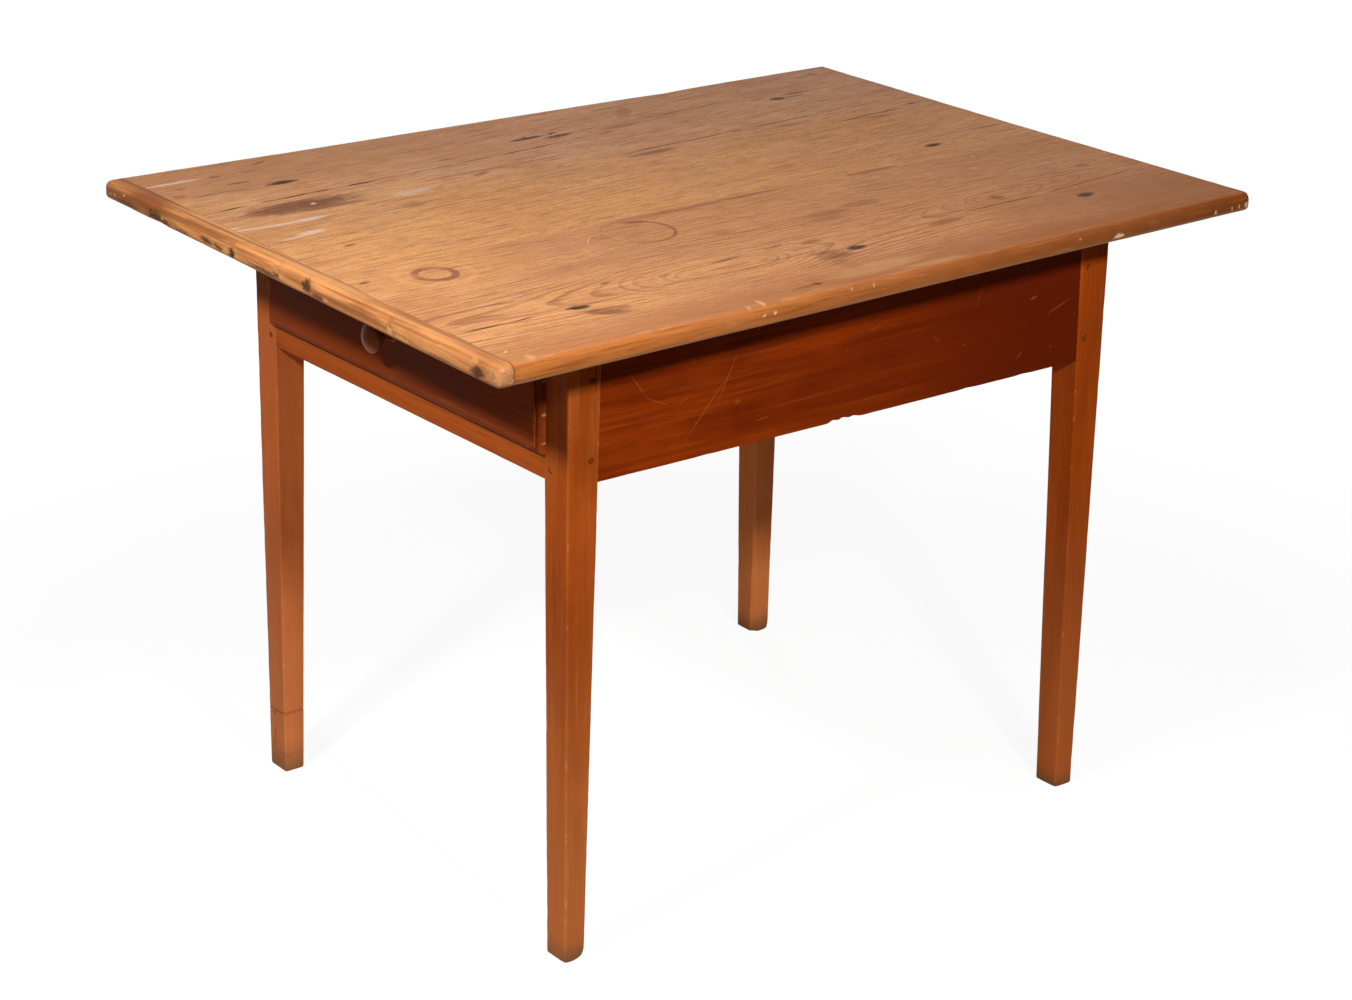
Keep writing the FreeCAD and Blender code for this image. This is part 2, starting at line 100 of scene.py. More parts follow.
def makeMesh(name, verts, faces, marks):
    mesh = bpy.data.meshes.new(name)
    mesh.from_pydata([tuple(v) for v in verts], [], faces)
    for label, values in marks.items():
        mesh.attributes.new(label, "FLOAT", "POINT").data.foreach_set("value", values)
    work = bmesh.new()
    work.from_mesh(mesh)
    bmesh.ops.recalc_face_normals(work, faces=work.faces)
    work.to_mesh(mesh)
    work.free()
    return mesh


def show(thing, name):
    shown = bpy.data.objects.new(name, thing)
    bpy.context.scene.collection.objects.link(shown)
    return shown


def makePiece(node, verts, faces, body, slot, material, sharp, **marks):
    first, *others = node.split("_")
    name = first + "".join(word.capitalize() for word in others)
    mesh = makeMesh(name, verts, faces, marks)
    mesh.shade_smooth()
    mesh.set_sharp_from_angle(angle=math.radians(sharp))
    mesh.materials.append(material)
    piece = show(mesh, name)
    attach(piece, body)
    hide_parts(node)
    return piece


def roundedSection(corners, radii, sideCounts, arcCount, flank):
    size = len(corners)  # points of a convex outline, and how near each is to an arris
    arcs = []
    for i, here in enumerate(corners):
        before = (corners[i - 1] - here).normalized()
        after = (corners[(i + 1) % size] - here).normalized()
        half = math.acos(clamp(before.dot(after), -1, 1)) / 2
        setback = radii[i] / math.tan(half)
        middle = here + (before + after).normalized() * radii[i] / math.sin(half)
        first, last = here + before * setback, here + after * setback
        spokes = [(first - middle).lerp(last - middle, j / arcCount) for j in range(arcCount + 1)]
        arcs.append(([middle + spoke.normalized() * radii[i] for spoke in spokes], first, last))
    points, nearness = [], []
    for i, (arc, first, last) in enumerate(arcs):
        side = arcs[(i + 1) % size][1] - last
        beside = min(flank / side.length, 1 / 3)  # rows close to the arris keep its wear narrow
        count = sideCounts[i]
        points += arc + [last + side * (beside + (1 - 2 * beside) * j / count) for j in range(count + 1)]
        nearness += [1.0] * len(arc) + [0.0] * (count + 1)
    return points, nearness


# loose solids of a CAD node, such as its nails or pegs, as boxes
def looseBoxes(node):
    work = bmesh.new()
    work.from_mesh(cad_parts[node].data)
    bmesh.ops.remove_doubles(work, verts=work.verts, dist=0.01 * mm)
    left = set(work.verts)
    boxes = []
    while left:
        group = [left.pop()]
        for vert in group:
            for link in vert.link_edges:
                other = link.other_vert(vert)
                if other in left:
                    left.discard(other)
                    group.append(other)
        low = Vector([min(v.co[i] for v in group) for i in range(3)])
        high = Vector([max(v.co[i] for v in group) for i in range(3)])
        boxes.append((low, high))
    work.free()
    return sorted(boxes, key=lambda ends: tuple(round(c, 4) for c in ends[0]))


# material helper: one bench per material
class Bench:
    def __init__(self, holder, kind="Material"):
        self.holder = holder
        holder.use_nodes = True
        self.tree = holder.node_tree
        self.tree.nodes.clear()
        self.output = self.tree.nodes.new("ShaderNodeOutput" + kind)

    def plug(self, value, socket):
        if isinstance(value, bpy.types.NodeSocket):
            self.tree.links.new(value, socket)
        elif value is not None:
            wide = hasattr(socket.default_value, "__len__") and len(socket.default_value) == 4
            socket.default_value = (*value, 1.0) if wide and len(value) == 3 else value

    def node(self, kind, inputs, result=0, **settings):
        made = self.tree.nodes.new("ShaderNode" + kind)
        for label, value in settings.items():
            setattr(made, label, value)
        for key, value in inputs.items():
            self.plug(value, made.inputs[key])
        return made.outputs[result]

    def place(self):
        return self.node("TexCoord", {}, "Object")

    def split(self, vector):
        made = self.tree.nodes.new("ShaderNodeSeparateXYZ")
        self.plug(vector, made.inputs[0])
        return made.outputs[0], made.outputs[1], made.outputs[2]

    def pack(self, x, y, z=0.0):
        return self.node("CombineXYZ", {0: x, 1: y, 2: z})

    def math(self, operation, a, b=None, c=None):
        return self.node("Math", {0: a, 1: b, 2: c}, operation=operation)

    def minus(self, a, b):
        return self.math("SUBTRACT", a, b)

    def scaled(self, a, factor, offset):
        return self.math("MULTIPLY_ADD", a, factor, offset)

    def times(self, first, *others):
        for other in others:
            first = self.math("MULTIPLY", first, other)
        return first

    def most(self, first, *others):
        for other in others:
            first = self.math("MAXIMUM", first, other)
        return first

    def length(self, a):
        return self.node("VectorMath", {0: a}, "Value", operation="LENGTH")

    def stretch(self, vector, scale, turn=0.0):
        return self.node("Mapping", {"Vector": vector, "Scale": scale, "Rotation": (0, 0, turn)})

    def noise(self, vector, scale, detail=3.0, rough=0.55, twist=0.0, turn=0.0):
        if isinstance(scale, tuple):  # its own scale along each axis
            vector, scale = self.stretch(vector, scale, turn), 1.0
        inputs = {"Vector": vector, "Scale": scale, "Detail": detail, "Roughness": rough, "Distortion": twist}
        return self.node("TexNoise", inputs)

    def uneven(self, *settings, **others):  # noise about zero
        return self.minus(self.noise(*settings, **others), 0.5)

    def span(self, value, low, high, bottom=0.0, top=1.0):
        inputs = {0: value, 1: low, 2: high, 3: bottom, 4: top}
        return self.node("MapRange", inputs, interpolation_type="SMOOTHSTEP")

    def band(self, value, start, full, fullEnd, end):
        return self.times(self.span(value, start, full), self.span(value, end, fullEnd))

    def mix(self, share, a, b):
        return self.node("Mix", {0: share, 6: a, 7: b}, 2, data_type="RGBA")

    def tint(self, color, tones, layers):  # layers: mask, or value, span and share; then a tone
        for mask, *rise, kind in layers:
            if rise:
                low, high, share = rise
                mask = self.span(mask, low, high, 0.0, share)
            color = self.mix(mask, color, tones[kind])
        return color

    def label(self, name):
        return self.node("Attribute", {}, "Fac", attribute_name=name)

    def curve(self, value, points):
        made = self.tree.nodes.new("ShaderNodeFloatCurve")
        line = made.mapping.curves[0]
        for position, height in points[1:-1]:
            line.points.new(position, height)
        line.points[0].location = points[0]
        line.points[-1].location = points[-1]
        made.mapping.update()
        self.plug(value, made.inputs["Value"])
        return made.outputs[0]

    def spots(self, flat, ragged, marks, soft=0.45, pointed=False):
        masks = [0.0]  # marks: middle, half lengths in mm, turn in degrees, strength
        for cx, cy, rx, ry, turn, strength in marks:
            inputs = {"Vector": flat, "Location": (cx * mm, cy * mm, 0), "Scale": (rx * mm, ry * mm, 1),
                      "Rotation": (0, 0, math.radians(turn))}
            spot = self.node("Mapping", inputs, vector_type="TEXTURE")
            if pointed:  # shaped like an eye along its length
                x, y, z = self.split(spot)
                away = self.scaled(x, x, self.math("ABSOLUTE", y))
            else:
                away = self.length(spot)
            masks.append(self.span(self.math("ADD", away, ragged), 1.0 + soft, 1.0 - soft, 0.0, strength))
        return self.most(*masks)

    def hoop(self, flat, ragged, cx, cy, radius, width, soft=0.5):
        shifted = self.node("VectorMath", {0: flat, 1: (cx * mm, cy * mm, 0)}, operation="SUBTRACT")
        away = self.math("ABSOLUTE", self.minus(self.length(shifted), radius * mm))
        return self.span(self.scaled(away, 2 / (width * mm), ragged), 1.0 + soft, 1.0 - soft)

    def finish(self, color, rough, height, bumpDepth, bumpStrength, specular, metal=0.0):
        bump = self.node("Bump", {"Strength": bumpStrength, "Distance": bumpDepth, "Height": height})
        inputs = {"Base Color": color, "Roughness": rough, "Specular IOR Level": specular,
                  "Metallic": metal, "Normal": bump}
        self.plug(self.node("BsdfPrincipled", inputs), self.output.inputs["Surface"])
        return self.holder


def newBench(name):
    return Bench(bpy.data.materials.new(name))


# aged pine of the top: growth rings round a pith at changing depth, fibres, stains and wear, with painted
# shade and a painted sheen
# marks on the top: middle, half lengths in mm, turn in degrees, strength
topMarks = {
    "iron": [(-350, 272, 23, 6, 0, 1), (-12, 277, 26, 5, 2, 1), (25, 266, 21, 5, 3, 0.9),
        (357, 261, 13, 6, 0, 1), (385, 261, 18, 3, 0, 0.6), (332, 272, 12, 2, 0, 0.5),
        (393, 273, 26, 3, 0, 0.55), (477, 150, 6, 3, 0, 0.8), (-353, -289, 15, 6, -3, 1),
        (7, -288, 14, 6, 0, 1), (352, -277, 14, 7, 4, 0.9), (361, -18, 14, 5, 0, 0.9)],
    "brown": [(-383, 178, 70, 19, 2, 1), (-372, 176, 46, 12, 2, 1), (-358, 160, 44, 6, 0, 0.8),
        (-120, 189, 100, 4, 1, 0.45), (-146, 177, 12, 5, 20, 0.6), (-281, 115, 14, 14, 0, 0.3),
        (-473, 284, 8, 6, 0, 0.6), (71, 142, 34, 6, 2, 0.7), (71, 158, 30, 4, 2, 0.4),
        (293, 151, 28, 3, 3, 0.4), (400, 123, 20, 4, 0, 0.5), (158, 315, 10, 24, -40, 0.35),
        (478, 12, 24, 3, 0, 0.6), (475, 337, 10, 6, 0, 0.4), (110, 262, 26, 6, 4, 0.45),
        (-338, -315, 22, 10, -28, 0.8), (-322, -310, 16, 6, -20, 0.6), (-30, -298, 22, 8, 0, 0.75),
        (-30, -284, 18, 5, 0, 0.7), (-123, -364, 22, 3, 4, 0.6), (-19, -245, 13, 5, 0, 0.6),
        (45, -63, 48, 6, 0, 0.55), (228, -63, 38, 6, 0, 0.55), (-65, -66, 75, 8, 0, 0.4),
        (68, -171, 32, 10, 0, 0.4), (54, -189, 27, 6, 0, 0.4), (125, -161, 27, 9, 0, 0.45),
        (150, -268, 26, 6, 6, 0.5), (439, -184, 9, 5, 0, 0.5), (264, -229, 8, 8, 0, 0.6),
        (-40, -330, 10, 22, 10, 0.25)],
    "dash": [(-401, 335, 7, 3, 0, 0.8), (-355, 335, 10, 3, 0, 0.5), (-328, 359, 12, 3, 25, 0.7),
        (-457, 310, 7, 2, 0, 0.7), (-390, 298, 14, 2.5, 0, 0.8), (-146, 251, 7, 2, 0, 0.7),
        (-473, 69, 5, 2, 0, 0.7), (-421, 20, 7, 3, 5, 0.8), (-55, 152, 5, 2, 0, 0.6),
        (-480, -101, 7, 3, 10, 0.85), (-133, -245, 19, 2.5, 8, 0.85), (-62, -236, 13, 2, 6, 0.7),
        (-284, -240, 6, 3, 20, 0.7), (-220, -252, 6, 3, -10, 0.5), (-110, -363, 5, 4, 0, 0.9),
        (-410, -235, 20, 2.5, -4, 0.5), (-170, -50, 5, 2, 0, 0.5), (-440, -263, 16, 2, -6, 0.6)],
    "paint": [(-453, 337, 34, 4, 1, 1), (-475, 130, 22, 2.6, -5, 0.9), (-440, 127, 32, 3.6, -2, 0.9),
        (-402, 128, 20, 5, 4, 1), (-487, 142, 6, 3, 0, 0.8), (-428, 83, 17, 6, 8, 1),
        (-452, 76, 18, 3, 8, 0.7), (-367, 178, 4, 3, 30, 1), (-252, 159, 26, 7, 4, 0.6),
        (-260, 152, 10, 5, 0, 0.5)],
    "pale": [(-119, 34, 0.9, 15, 4, 0.7), (-60, 82, 3, 13, 6, 0.5), (-207, -108, 13, 0.8, 48, 0.9),
        (-232, -142, 1.2, 20, -10, 0.35), (486, 184, 12, 1.2, 0, 0.8), (478, 50, 20, 1.2, 2, 0.8),
        (435, 264, 7, 7, 0, 0.35), (446, 236, 10, 10, 0, 0.4), (364, -83, 3, 3, 0, 0.9),
        (330, -123, 5, 5, 0, 0.5), (178, -66, 10, 9, 0, 0.4), (-475, -58, 26, 1.2, 1, 0.8),
        (-216, -384, 2, 6, 0, 0.5), (-197, -379, 3, 8, 0, 0.7), (-480, -386, 5, 7, -20, 0.4),
        (-490, -361, 4, 1.5, 40, 0.9), (-20, -352, 60, 14, 4, 0.35), (40, -372, 40, 5, 0, 0.35)],
}
# middle, radius and width in mm
rings = {"small": (-405, -116, 21, 8.5), "halo": (-405, -116, 40, 8), "large": (-144, -111, 40, 4.2)}

# per board: the line of the pith in plan and its depth under the board, along the board's length
boardLook = {
    "front": {"ringPitch": 0.006, "ringStrength": 0.95, "tilt": 0, "sway": 0.006,
        "zone": (-0.37, -0.32, -0.18, -0.135), "depthSpan": 0.1, "pithSpan": (-0.3, 0.1),
        "depths": [(0, 0.62), (0.14, 0.55), (0.18, 0.5), (0.224, 0.44), (0.26, 0.32), (0.29, 0.21),
            (0.311, 0.12), (0.35, 0.05), (0.387, 0.06), (0.415, 0.14), (0.438, 0.24), (0.46, 0.32),
            (0.5, 0.42), (0.575, 0.46), (0.65, 0.4), (0.7, 0.28), (0.736, 0.13), (0.765, 0.1), (0.81, 0.22),
            (0.86, 0.34), (1, 0.5)],
        "pith": [(0, 0.35), (0.25, 0.35), (0.45, 0.36), (0.75, 0.75), (1, 0.95)]},
    "back": {"ringPitch": 0.0064, "ringStrength": 0.4, "tilt": 0.065, "sway": 0.01,
        "zone": (0.06, 0.13, 0.27, 0.34), "depthSpan": 0.1, "pithSpan": (-0.5, 0.1),
        "depths": [(0, 0.3), (0.3, 0.55), (0.6, 0.35), (1, 0.6)],
        "pith": [(0, 0.5), (1, 0.5)]},
}
boardSpan = 1.06  # length in m that the depths and the pith are spread over
underEdge = (0.7035, 0.6995)  # heights between which the edge turns to the underside
topTone = {
    "left": (0.72, 0.34, 0.13), "right": (0.72, 0.33, 0.145), "honey": (0.78, 0.37, 0.13),
    "pink": (0.74, 0.39, 0.23), "umber": (0.52, 0.22, 0.1), "line": (0.27, 0.095, 0.04),
    "paintedShade": (0.35, 0.122, 0.044), "iron": (0.04, 0.022, 0.014), "brown": (0.19, 0.062, 0.027),
    "dash": (0.1, 0.038, 0.024), "ring": (0.24, 0.07, 0.036), "paint": (0.74, 0.55, 0.43),
    "score": (0.78, 0.46, 0.2), "edgeLit": (0.42, 0.132, 0.026), "edgeShadeAndGrain": (0.21, 0.048, 0.0075),
    "edgeBare": (0.52, 0.2, 0.055), "crack": (0.03, 0.013, 0.01), "under": (0.34, 0.16, 0.07),
    "chip": (0.74, 0.52, 0.34)}
# bare wood on the front edge: x and height, half lengths in mm, turn, strength
edgeFlecks = [
    (304, 704, 7, 2.2, 5, 1), (243, 711, 2.4, 1.2, 0, 0.4), (459, 704, 1.3, 3.2, 0, 0.9),
    (486, 704, 1.2, 2.2, 0, 0.8), (497, 705, 1.2, 2, 0, 0.7), (509, 705, 3, 3.4, 0, 0.9),
    (-186, 710, 2, 1.5, 20, 0.8), (-200, 710, 2.4, 1.2, 30, 0.6), (-54, 714, 1.2, 2, 0, 0.3),
    (-84, 715, 1.2, 1.8, 0, 0.25)]


def pineMaterial(name, look, within):
    b = newBench(name)
    place = b.place()
    x, y, z = b.split(place)
    flat = b.pack(x, y)
    sway = b.uneven(place, (3.2, 11, 11), detail=2)
    shiver = b.uneven(place, (16, 60, 60), detail=2)
    tilted = b.scaled(x, -look["tilt"], y)
    bent = b.scaled(shiver, 0.004, b.scaled(sway, look["sway"] * 2, tilted))
    share = b.scaled(x, 1 / boardSpan, 0.5)
    depth = b.times(b.curve(share, look["depths"]), look["depthSpan"])
    pith = b.scaled(b.curve(share, look["pith"]), look["pithSpan"][1], look["pithSpan"][0])
    reach = b.length(b.pack(b.minus(bent, pith), depth))
    count = b.scaled(sway, 1.6, b.math("DIVIDE", reach, look["ringPitch"]))
    phase = b.math("FRACT", count)
    season = b.node("TexWhiteNoise", {"W": b.math("FLOOR", count)}, "Value", noise_dimensions="1D")
    late = b.times(b.band(phase, 0.5, 0.88, 0.95, 1.0), b.span(season, 0.1, 0.9, 0.35, 1.0))
    patchy = b.span(b.noise(place, (5, 15, 15), detail=2), 0.36, 0.62, 0.4, 1.0)
    zone = b.scaled(b.band(bent, *look["zone"]), 0.85, 0.15)
    strength = b.span(x, 0.0, 0.2, look["ringStrength"], look["ringStrength"] * 0.55)
    ring = b.times(late, patchy, zone, strength)
    grain = b.pack(x, b.scaled(sway, 0.02, tilted))
    fibre = b.noise(grain, (9, 230, 1), detail=5, rough=0.68)
    thread = b.noise(grain, (34, 620, 1), rough=0.6)
    band = b.noise(grain, (1.5, 30, 1))
    cloud = b.noise(place, 6, detail=5, rough=0.62)
    mottle = b.noise(place, (16, 30, 30), detail=4, rough=0.65)
    grit = b.noise(place, 480, detail=2)

    # broad tones: honey band behind the seam, browner in front of it, and a painted sheen that makes the top
    # greyer to the right and back
    wide = b.scaled(sway, 0.05, y)
    color = b.mix(b.span(b.scaled(sway, 0.3, x), -0.32, 0.42), topTone["left"], topTone["right"])
    honey = b.times(b.band(wide, -0.07, -0.05, 0.02, 0.085), b.span(x, 0.34, -0.3, 0.0, 0.85))
    # painted sheen: the back and right mixed towards a greyer pink tone
    paintedSheenMask = b.times(b.span(wide, 0.10, 0.21), b.span(x, -0.5, 0.1, 0.3, 0.75))
    umber = b.times(b.span(wide, -0.058, -0.07), b.span(wide, -0.30, -0.10, 0.45, 1.0),
                    b.span(x, -0.42, -0.2, 0.1, 0.55))
    # painted shade: a darker strip along the front edge, the front right and the back left corner
    paintedShade = b.times(b.span(b.scaled(x, -0.025, y), -0.29, -0.375), b.span(x, -0.5, 0.5, 0.68, 0.98))
    nearRightShade = b.times(b.span(wide, -0.17, -0.31), b.span(x, 0.06, 0.42, 0.0, 0.8))
    corner = b.times(b.span(wide, 0.21, 0.34), b.span(x, 0.15, -0.3, 0.0, 0.4))
    color = b.tint(color, topTone, (
        (honey, "honey"), (paintedSheenMask, "pink"), (umber, "umber"), (cloud, 0.42, 0.72, 0.35, "umber"),
        (cloud, 0.5, 0.28, 0.3, "honey"), (band, 0.45, 0.72, 0.42, "umber"),
        (ring, "line"), (mottle, 0.48, 0.68, 0.3, "umber"),
        (fibre, 0.5, 0.68, 0.62, "line"), (fibre, 0.47, 0.3, 0.6, "score"),
        (thread, 0.5, 0.66, 0.62, "line"), (grit, 0.54, 0.7, 0.4, "line"),
        (b.most(paintedShade, nearRightShade, corner), "paintedShade")))

    # marks on the upper face
    ragged = b.uneven(grain, (45, 280, 1), detail=4, rough=0.68)
    loose, tight, spiky = [b.times(ragged, amount) for amount in (1.9, 0.7, 1.2)]
    onTop = b.span(z, 0.7, 0.712)

    def here(kind):
        return [mark for mark in topMarks[kind] if within[0] < mark[1] <= within[1]]

    stains = [(b.spots(flat, loose, here("brown"), 0.38), 0.95, "brown")]
    if within[0] < rings["small"][1] <= within[1]:
        blotchy = b.span(b.noise(flat, 55), 0.35, 0.6, 0.55, 1.0)
        cx, cy = rings["large"][:2]
        side = b.minus(x, b.scaled(y, 0.5, (cx - cy / 2) * mm))
        faint = b.span(side, -0.03, 0.03, 0.3, 1.0)
        stains += [(b.hoop(flat, tight, *rings["halo"], 0.7), 0.4, "honey"),
                   (b.times(b.hoop(flat, tight, *rings["small"]), blotchy), 0.85, "ring"),
                   (b.times(b.hoop(flat, tight, *rings["large"], 0.8), faint), 0.75, "ring"),
                   (b.spots(flat, tight, [(-126, -79, 13, 4, -15, 0.9)]), 0.9, "ring")]
    black = b.spots(flat, spiky, here("iron"), 0.4, True)
    smudge = b.span(b.noise(flat, (160, 420, 1)), 0.3, 0.5, 0.35, 1.0)
    stains += [(b.spots(flat, loose, here("dash")), 0.85, "dash"), (black, 0.96, "iron"),
               (b.times(black, b.span(grit, 0.58, 0.66)), 0.35, "paint"),
               (b.times(b.spots(flat, tight, here("paint")), smudge), 0.85, "paint"),
               (b.spots(flat, tight, here("pale")), 0.7, "score")]
    for turn, strength in ((0.5, 0.35), (1.25, 0.28), (2.3, 0.28), (-0.35, 0.3)):
        lines = b.noise(flat, (22, 620, 1), detail=0, turn=turn)
        stains.append((b.span(lines, 0.75, 0.81), strength, "score"))
    stainLayers = [(b.times(mask, strength, onTop), kind) for mask, strength, kind in stains]
    color = b.tint(color, topTone, stainLayers)

    # the rounded and upright edge, with painted shade that darkens it towards the right, the underside and
    # the cracks
    edgeTone = b.mix(b.span(x, -0.45, 0.5), topTone["edgeLit"], topTone["edgeShadeAndGrain"])
    edgeGrain = b.noise(place, (11, 330, 330), detail=4, rough=0.65)
    edgeTone = b.tint(edgeTone, topTone, ((edgeGrain, 0.46, 0.66, 0.75, "edgeShadeAndGrain"),
                                          (edgeGrain, 0.44, 0.28, 0.5, "edgeBare")))
    turned = b.span(z, 0.7196, 0.7168)
    color = b.mix(b.times(turned, b.span(cloud, 0.3, 0.65, 0.95, 0.75)), color, edgeTone)
    fleck = b.spots(b.pack(x, z), b.times(b.minus(grit, 0.5), 2.4), edgeFlecks, 0.3)
    frontEdge = b.times(b.span(y, -0.352, -0.366), turned)
    color = b.tint(color, topTone, ((b.times(fleck, frontEdge), "chip"), (z, *underEdge, 1, "under"),
                                    (b.times(b.label("crack"), 0.97), "crack")))
    rough = b.span(b.noise(place, 9, detail=4), 0.3, 0.7, 0.5, 0.62)
    height = b.scaled(ring, -0.5, b.times(fibre, 0.6))
    return b.finish(color, rough, height, bumpDepth=0.0004, bumpStrength=0.45, specular=0.04)


# end strip: grain along Y, a dark seam, a beaten and knotty outer edge, bare end grain at the near corner
stripLook = {
    "upper": (0.68, 0.31, 0.11), "outer": (0.8, 0.335, 0.11), "line": (0.26, 0.085, 0.028),
    "hole": (0.075, 0.03, 0.016), "rust": (0.24, 0.06, 0.02), "bare": (0.72, 0.38, 0.14),
    "end": (0.42, 0.19, 0.075), "white": (0.8, 0.7, 0.6),
    "lean": -0.0264, "endLine": 0.5145,  # slope and place of the drawer end in plan
    "redPatches": [(300, 716, 40, 6, 0, 0.8), (-30, 712, 30, 5, 0, 0.5)],
    "holes": [(278, 704, 20, 6, 3, 0.9), (258, 702, 12, 4, 0, 0.8), (164, 706, 12, 3, 4, 0.85),
        (137, 705, 9, 2.4, 8, 0.8), (107, 705, 6, 5, 0, 1), (36, 703, 26, 2.4, 2, 0.8),
        (13, 705, 9, 2.6, 0, 0.8), (-48, 709, 8, 7, 20, 0.9), (-70, 702, 16, 4, 0, 0.75),
        (-363, 706, 11, 6, -10, 0.95), (340, 703, 24, 3, 0, 0.6), (-385, 700, 10, 3, 0, 0.8),
        (-207, 708, 5, 3, 0, 0.5), (-300, 702, 26, 2, 0, 0.5), (215, 702, 14, 3, 0, 0.5)],
    "chips": [(120, 707, 2, 4, 20, 0.8), (98, 704, 3, 2, 0, 0.7), (4, 706, 5, 2.4, 0, 0.9),
        (-207, 706, 5, 3, 20, 0.8), (-232, 703, 14, 1.2, 4, 0.8), (212, 707, 20, 1.4, 6, 0.8),
        (352, 711, 2.4, 1.6, 0, 0.7), (374, 707, 2, 2, 0, 0.8), (-85, 704, 5, 2, 0, 0.7),
        (60, 707, 12, 1.2, 4, 0.6), (-310, 709, 20, 1.4, 3, 0.4), (262, 706, 3, 2, 0, 0.6)]}


def stripMaterial():
    look = stripLook
    b = newBench("pineEndStrip")
    place = b.place()
    x, y, z = b.split(place)
    fibre = b.noise(place, (330, 9, 330), detail=4, rough=0.62)
    band = b.noise(place, (120, 3, 120), detail=2)
    grit = b.noise(place, 480, detail=2)
    speckle = b.noise(place, 260, rough=0.7)
    cloud = b.noise(place, 9, detail=4, rough=0.6)
    scuffs = b.noise(place, (150, 60, 150), detail=2, turn=0.6)
    outer = b.scaled(y, look["lean"], b.math("ADD", x, look["endLine"]))  # distance in from the drawer end
    color = b.mix(b.span(outer, 0.012, 0.004), look["upper"], look["outer"])
    face = b.pack(y, z)
    ragged = b.times(b.minus(speckle, 0.5), 2.2)
    low = b.span(outer, 0.012, 0.006)
    color = b.tint(color, look, (
        (b.most(b.span(y, 0.15, 0.36, 0.0, 0.55), b.span(y, -0.2, -0.385, 0.1, 0.55)), "line"),
        (band, 0.46, 0.64, 0.75, "line"), (fibre, 0.48, 0.68, 0.55, "line"),
        (fibre, 0.45, 0.3, 0.35, "bare"), (cloud, 0.5, 0.7, 0.35, "line"),
        (grit, 0.56, 0.74, 0.22, "line"), (scuffs, 0.66, 0.74, 0.25, "bare"),
        (b.spots(face, 0.0, look["redPatches"], 0.6), "rust"),
        (b.times(b.spots(face, ragged, look["holes"], 0.5), low), "hole"),
        (b.times(b.spots(face, ragged, look["chips"], 0.4), low), "bare")))
    nearEnd = b.times(b.span(y, -0.372, -0.388), b.span(z, 0.7185, 0.714))
    endTone = b.tint(look["end"], look, ((speckle, 0.52, 0.66, 0.75, "line"),
                                         (grit, 0.65, 0.7, 0.8, "white")))
    color = b.mix(b.times(nearEnd, 0.8), color, endTone)
    color = b.tint(color, look, ((z, *underEdge, 0.6, "line"),
                                 (b.times(b.label("crack"), 0.95), "hole")))
    height = b.scaled(speckle, 0.4, b.times(fibre, 0.6))
    rough = b.span(cloud, 0.3, 0.7, 0.48, 0.6)
    return b.finish(color, rough, height, bumpDepth=0.0006, bumpStrength=0.5, specular=0.04)


# red-brown stained wood of the frame: streaks along the grain, cloudy stain, worn arrises
stainLook = {
    "leg": {"grain": 2, "light": (0.47, 0.1, 0.014), "dark": (0.28, 0.048, 0.005), "worn": (0.56, 0.2, 0.06)},
    "rightLeg": {"grain": 2, "light": (0.47, 0.08, 0.006), "dark": (0.29, 0.041, 0.0025),
        "worn": (0.58, 0.18, 0.05)},
    # painted light: the left and rear legs are lighter copies of the leg stain, standing in for light on
    # their inner faces
    "leftLeg": {"grain": 2, "light": (0.63, 0.16, 0.043), "dark": (0.43, 0.094, 0.02),
        "worn": (0.62, 0.23, 0.08)},
    "rearLegPaintedLit": {"grain": 2, "light": (0.88, 0.23, 0.056), "dark": (0.69, 0.153, 0.03),
        "worn": (0.85, 0.3, 0.1)},
    "apron": {"grain": 0, "light": (0.31, 0.04, 0.002), "dark": (0.125, 0.0115, 0.0006),
        "worn": (0.46, 0.12, 0.02)},
    "rail": {"grain": 1, "light": (0.44, 0.092, 0.014), "dark": (0.27, 0.044, 0.006),
        "worn": (0.5, 0.17, 0.05)},
    "drawer": {"grain": 1, "light": (0.31, 0.052, 0.007), "dark": (0.16, 0.023, 0.0025),
        "worn": (0.42, 0.14, 0.04), "scratch": (0.72, 0.5, 0.34)},
    "knob": {"grain": 0, "light": (0.38, 0.094, 0.022), "dark": (0.22, 0.051, 0.011),
        "worn": (0.46, 0.22, 0.1)},
    "peg": {"grain": 1, "light": (0.26, 0.052, 0.008), "dark": (0.12, 0.022, 0.004),
        "worn": (0.22, 0.07, 0.02)},
    "bare": {"grain": 0, "light": (0.5, 0.3, 0.14), "dark": (0.3, 0.16, 0.07), "worn": (0.58, 0.4, 0.22)},
}
stainTone = {"split": (0.03, 0.01, 0.005), "dirt": (0.15, 0.08, 0.038), "crack": (0.02, 0.008, 0.005)}
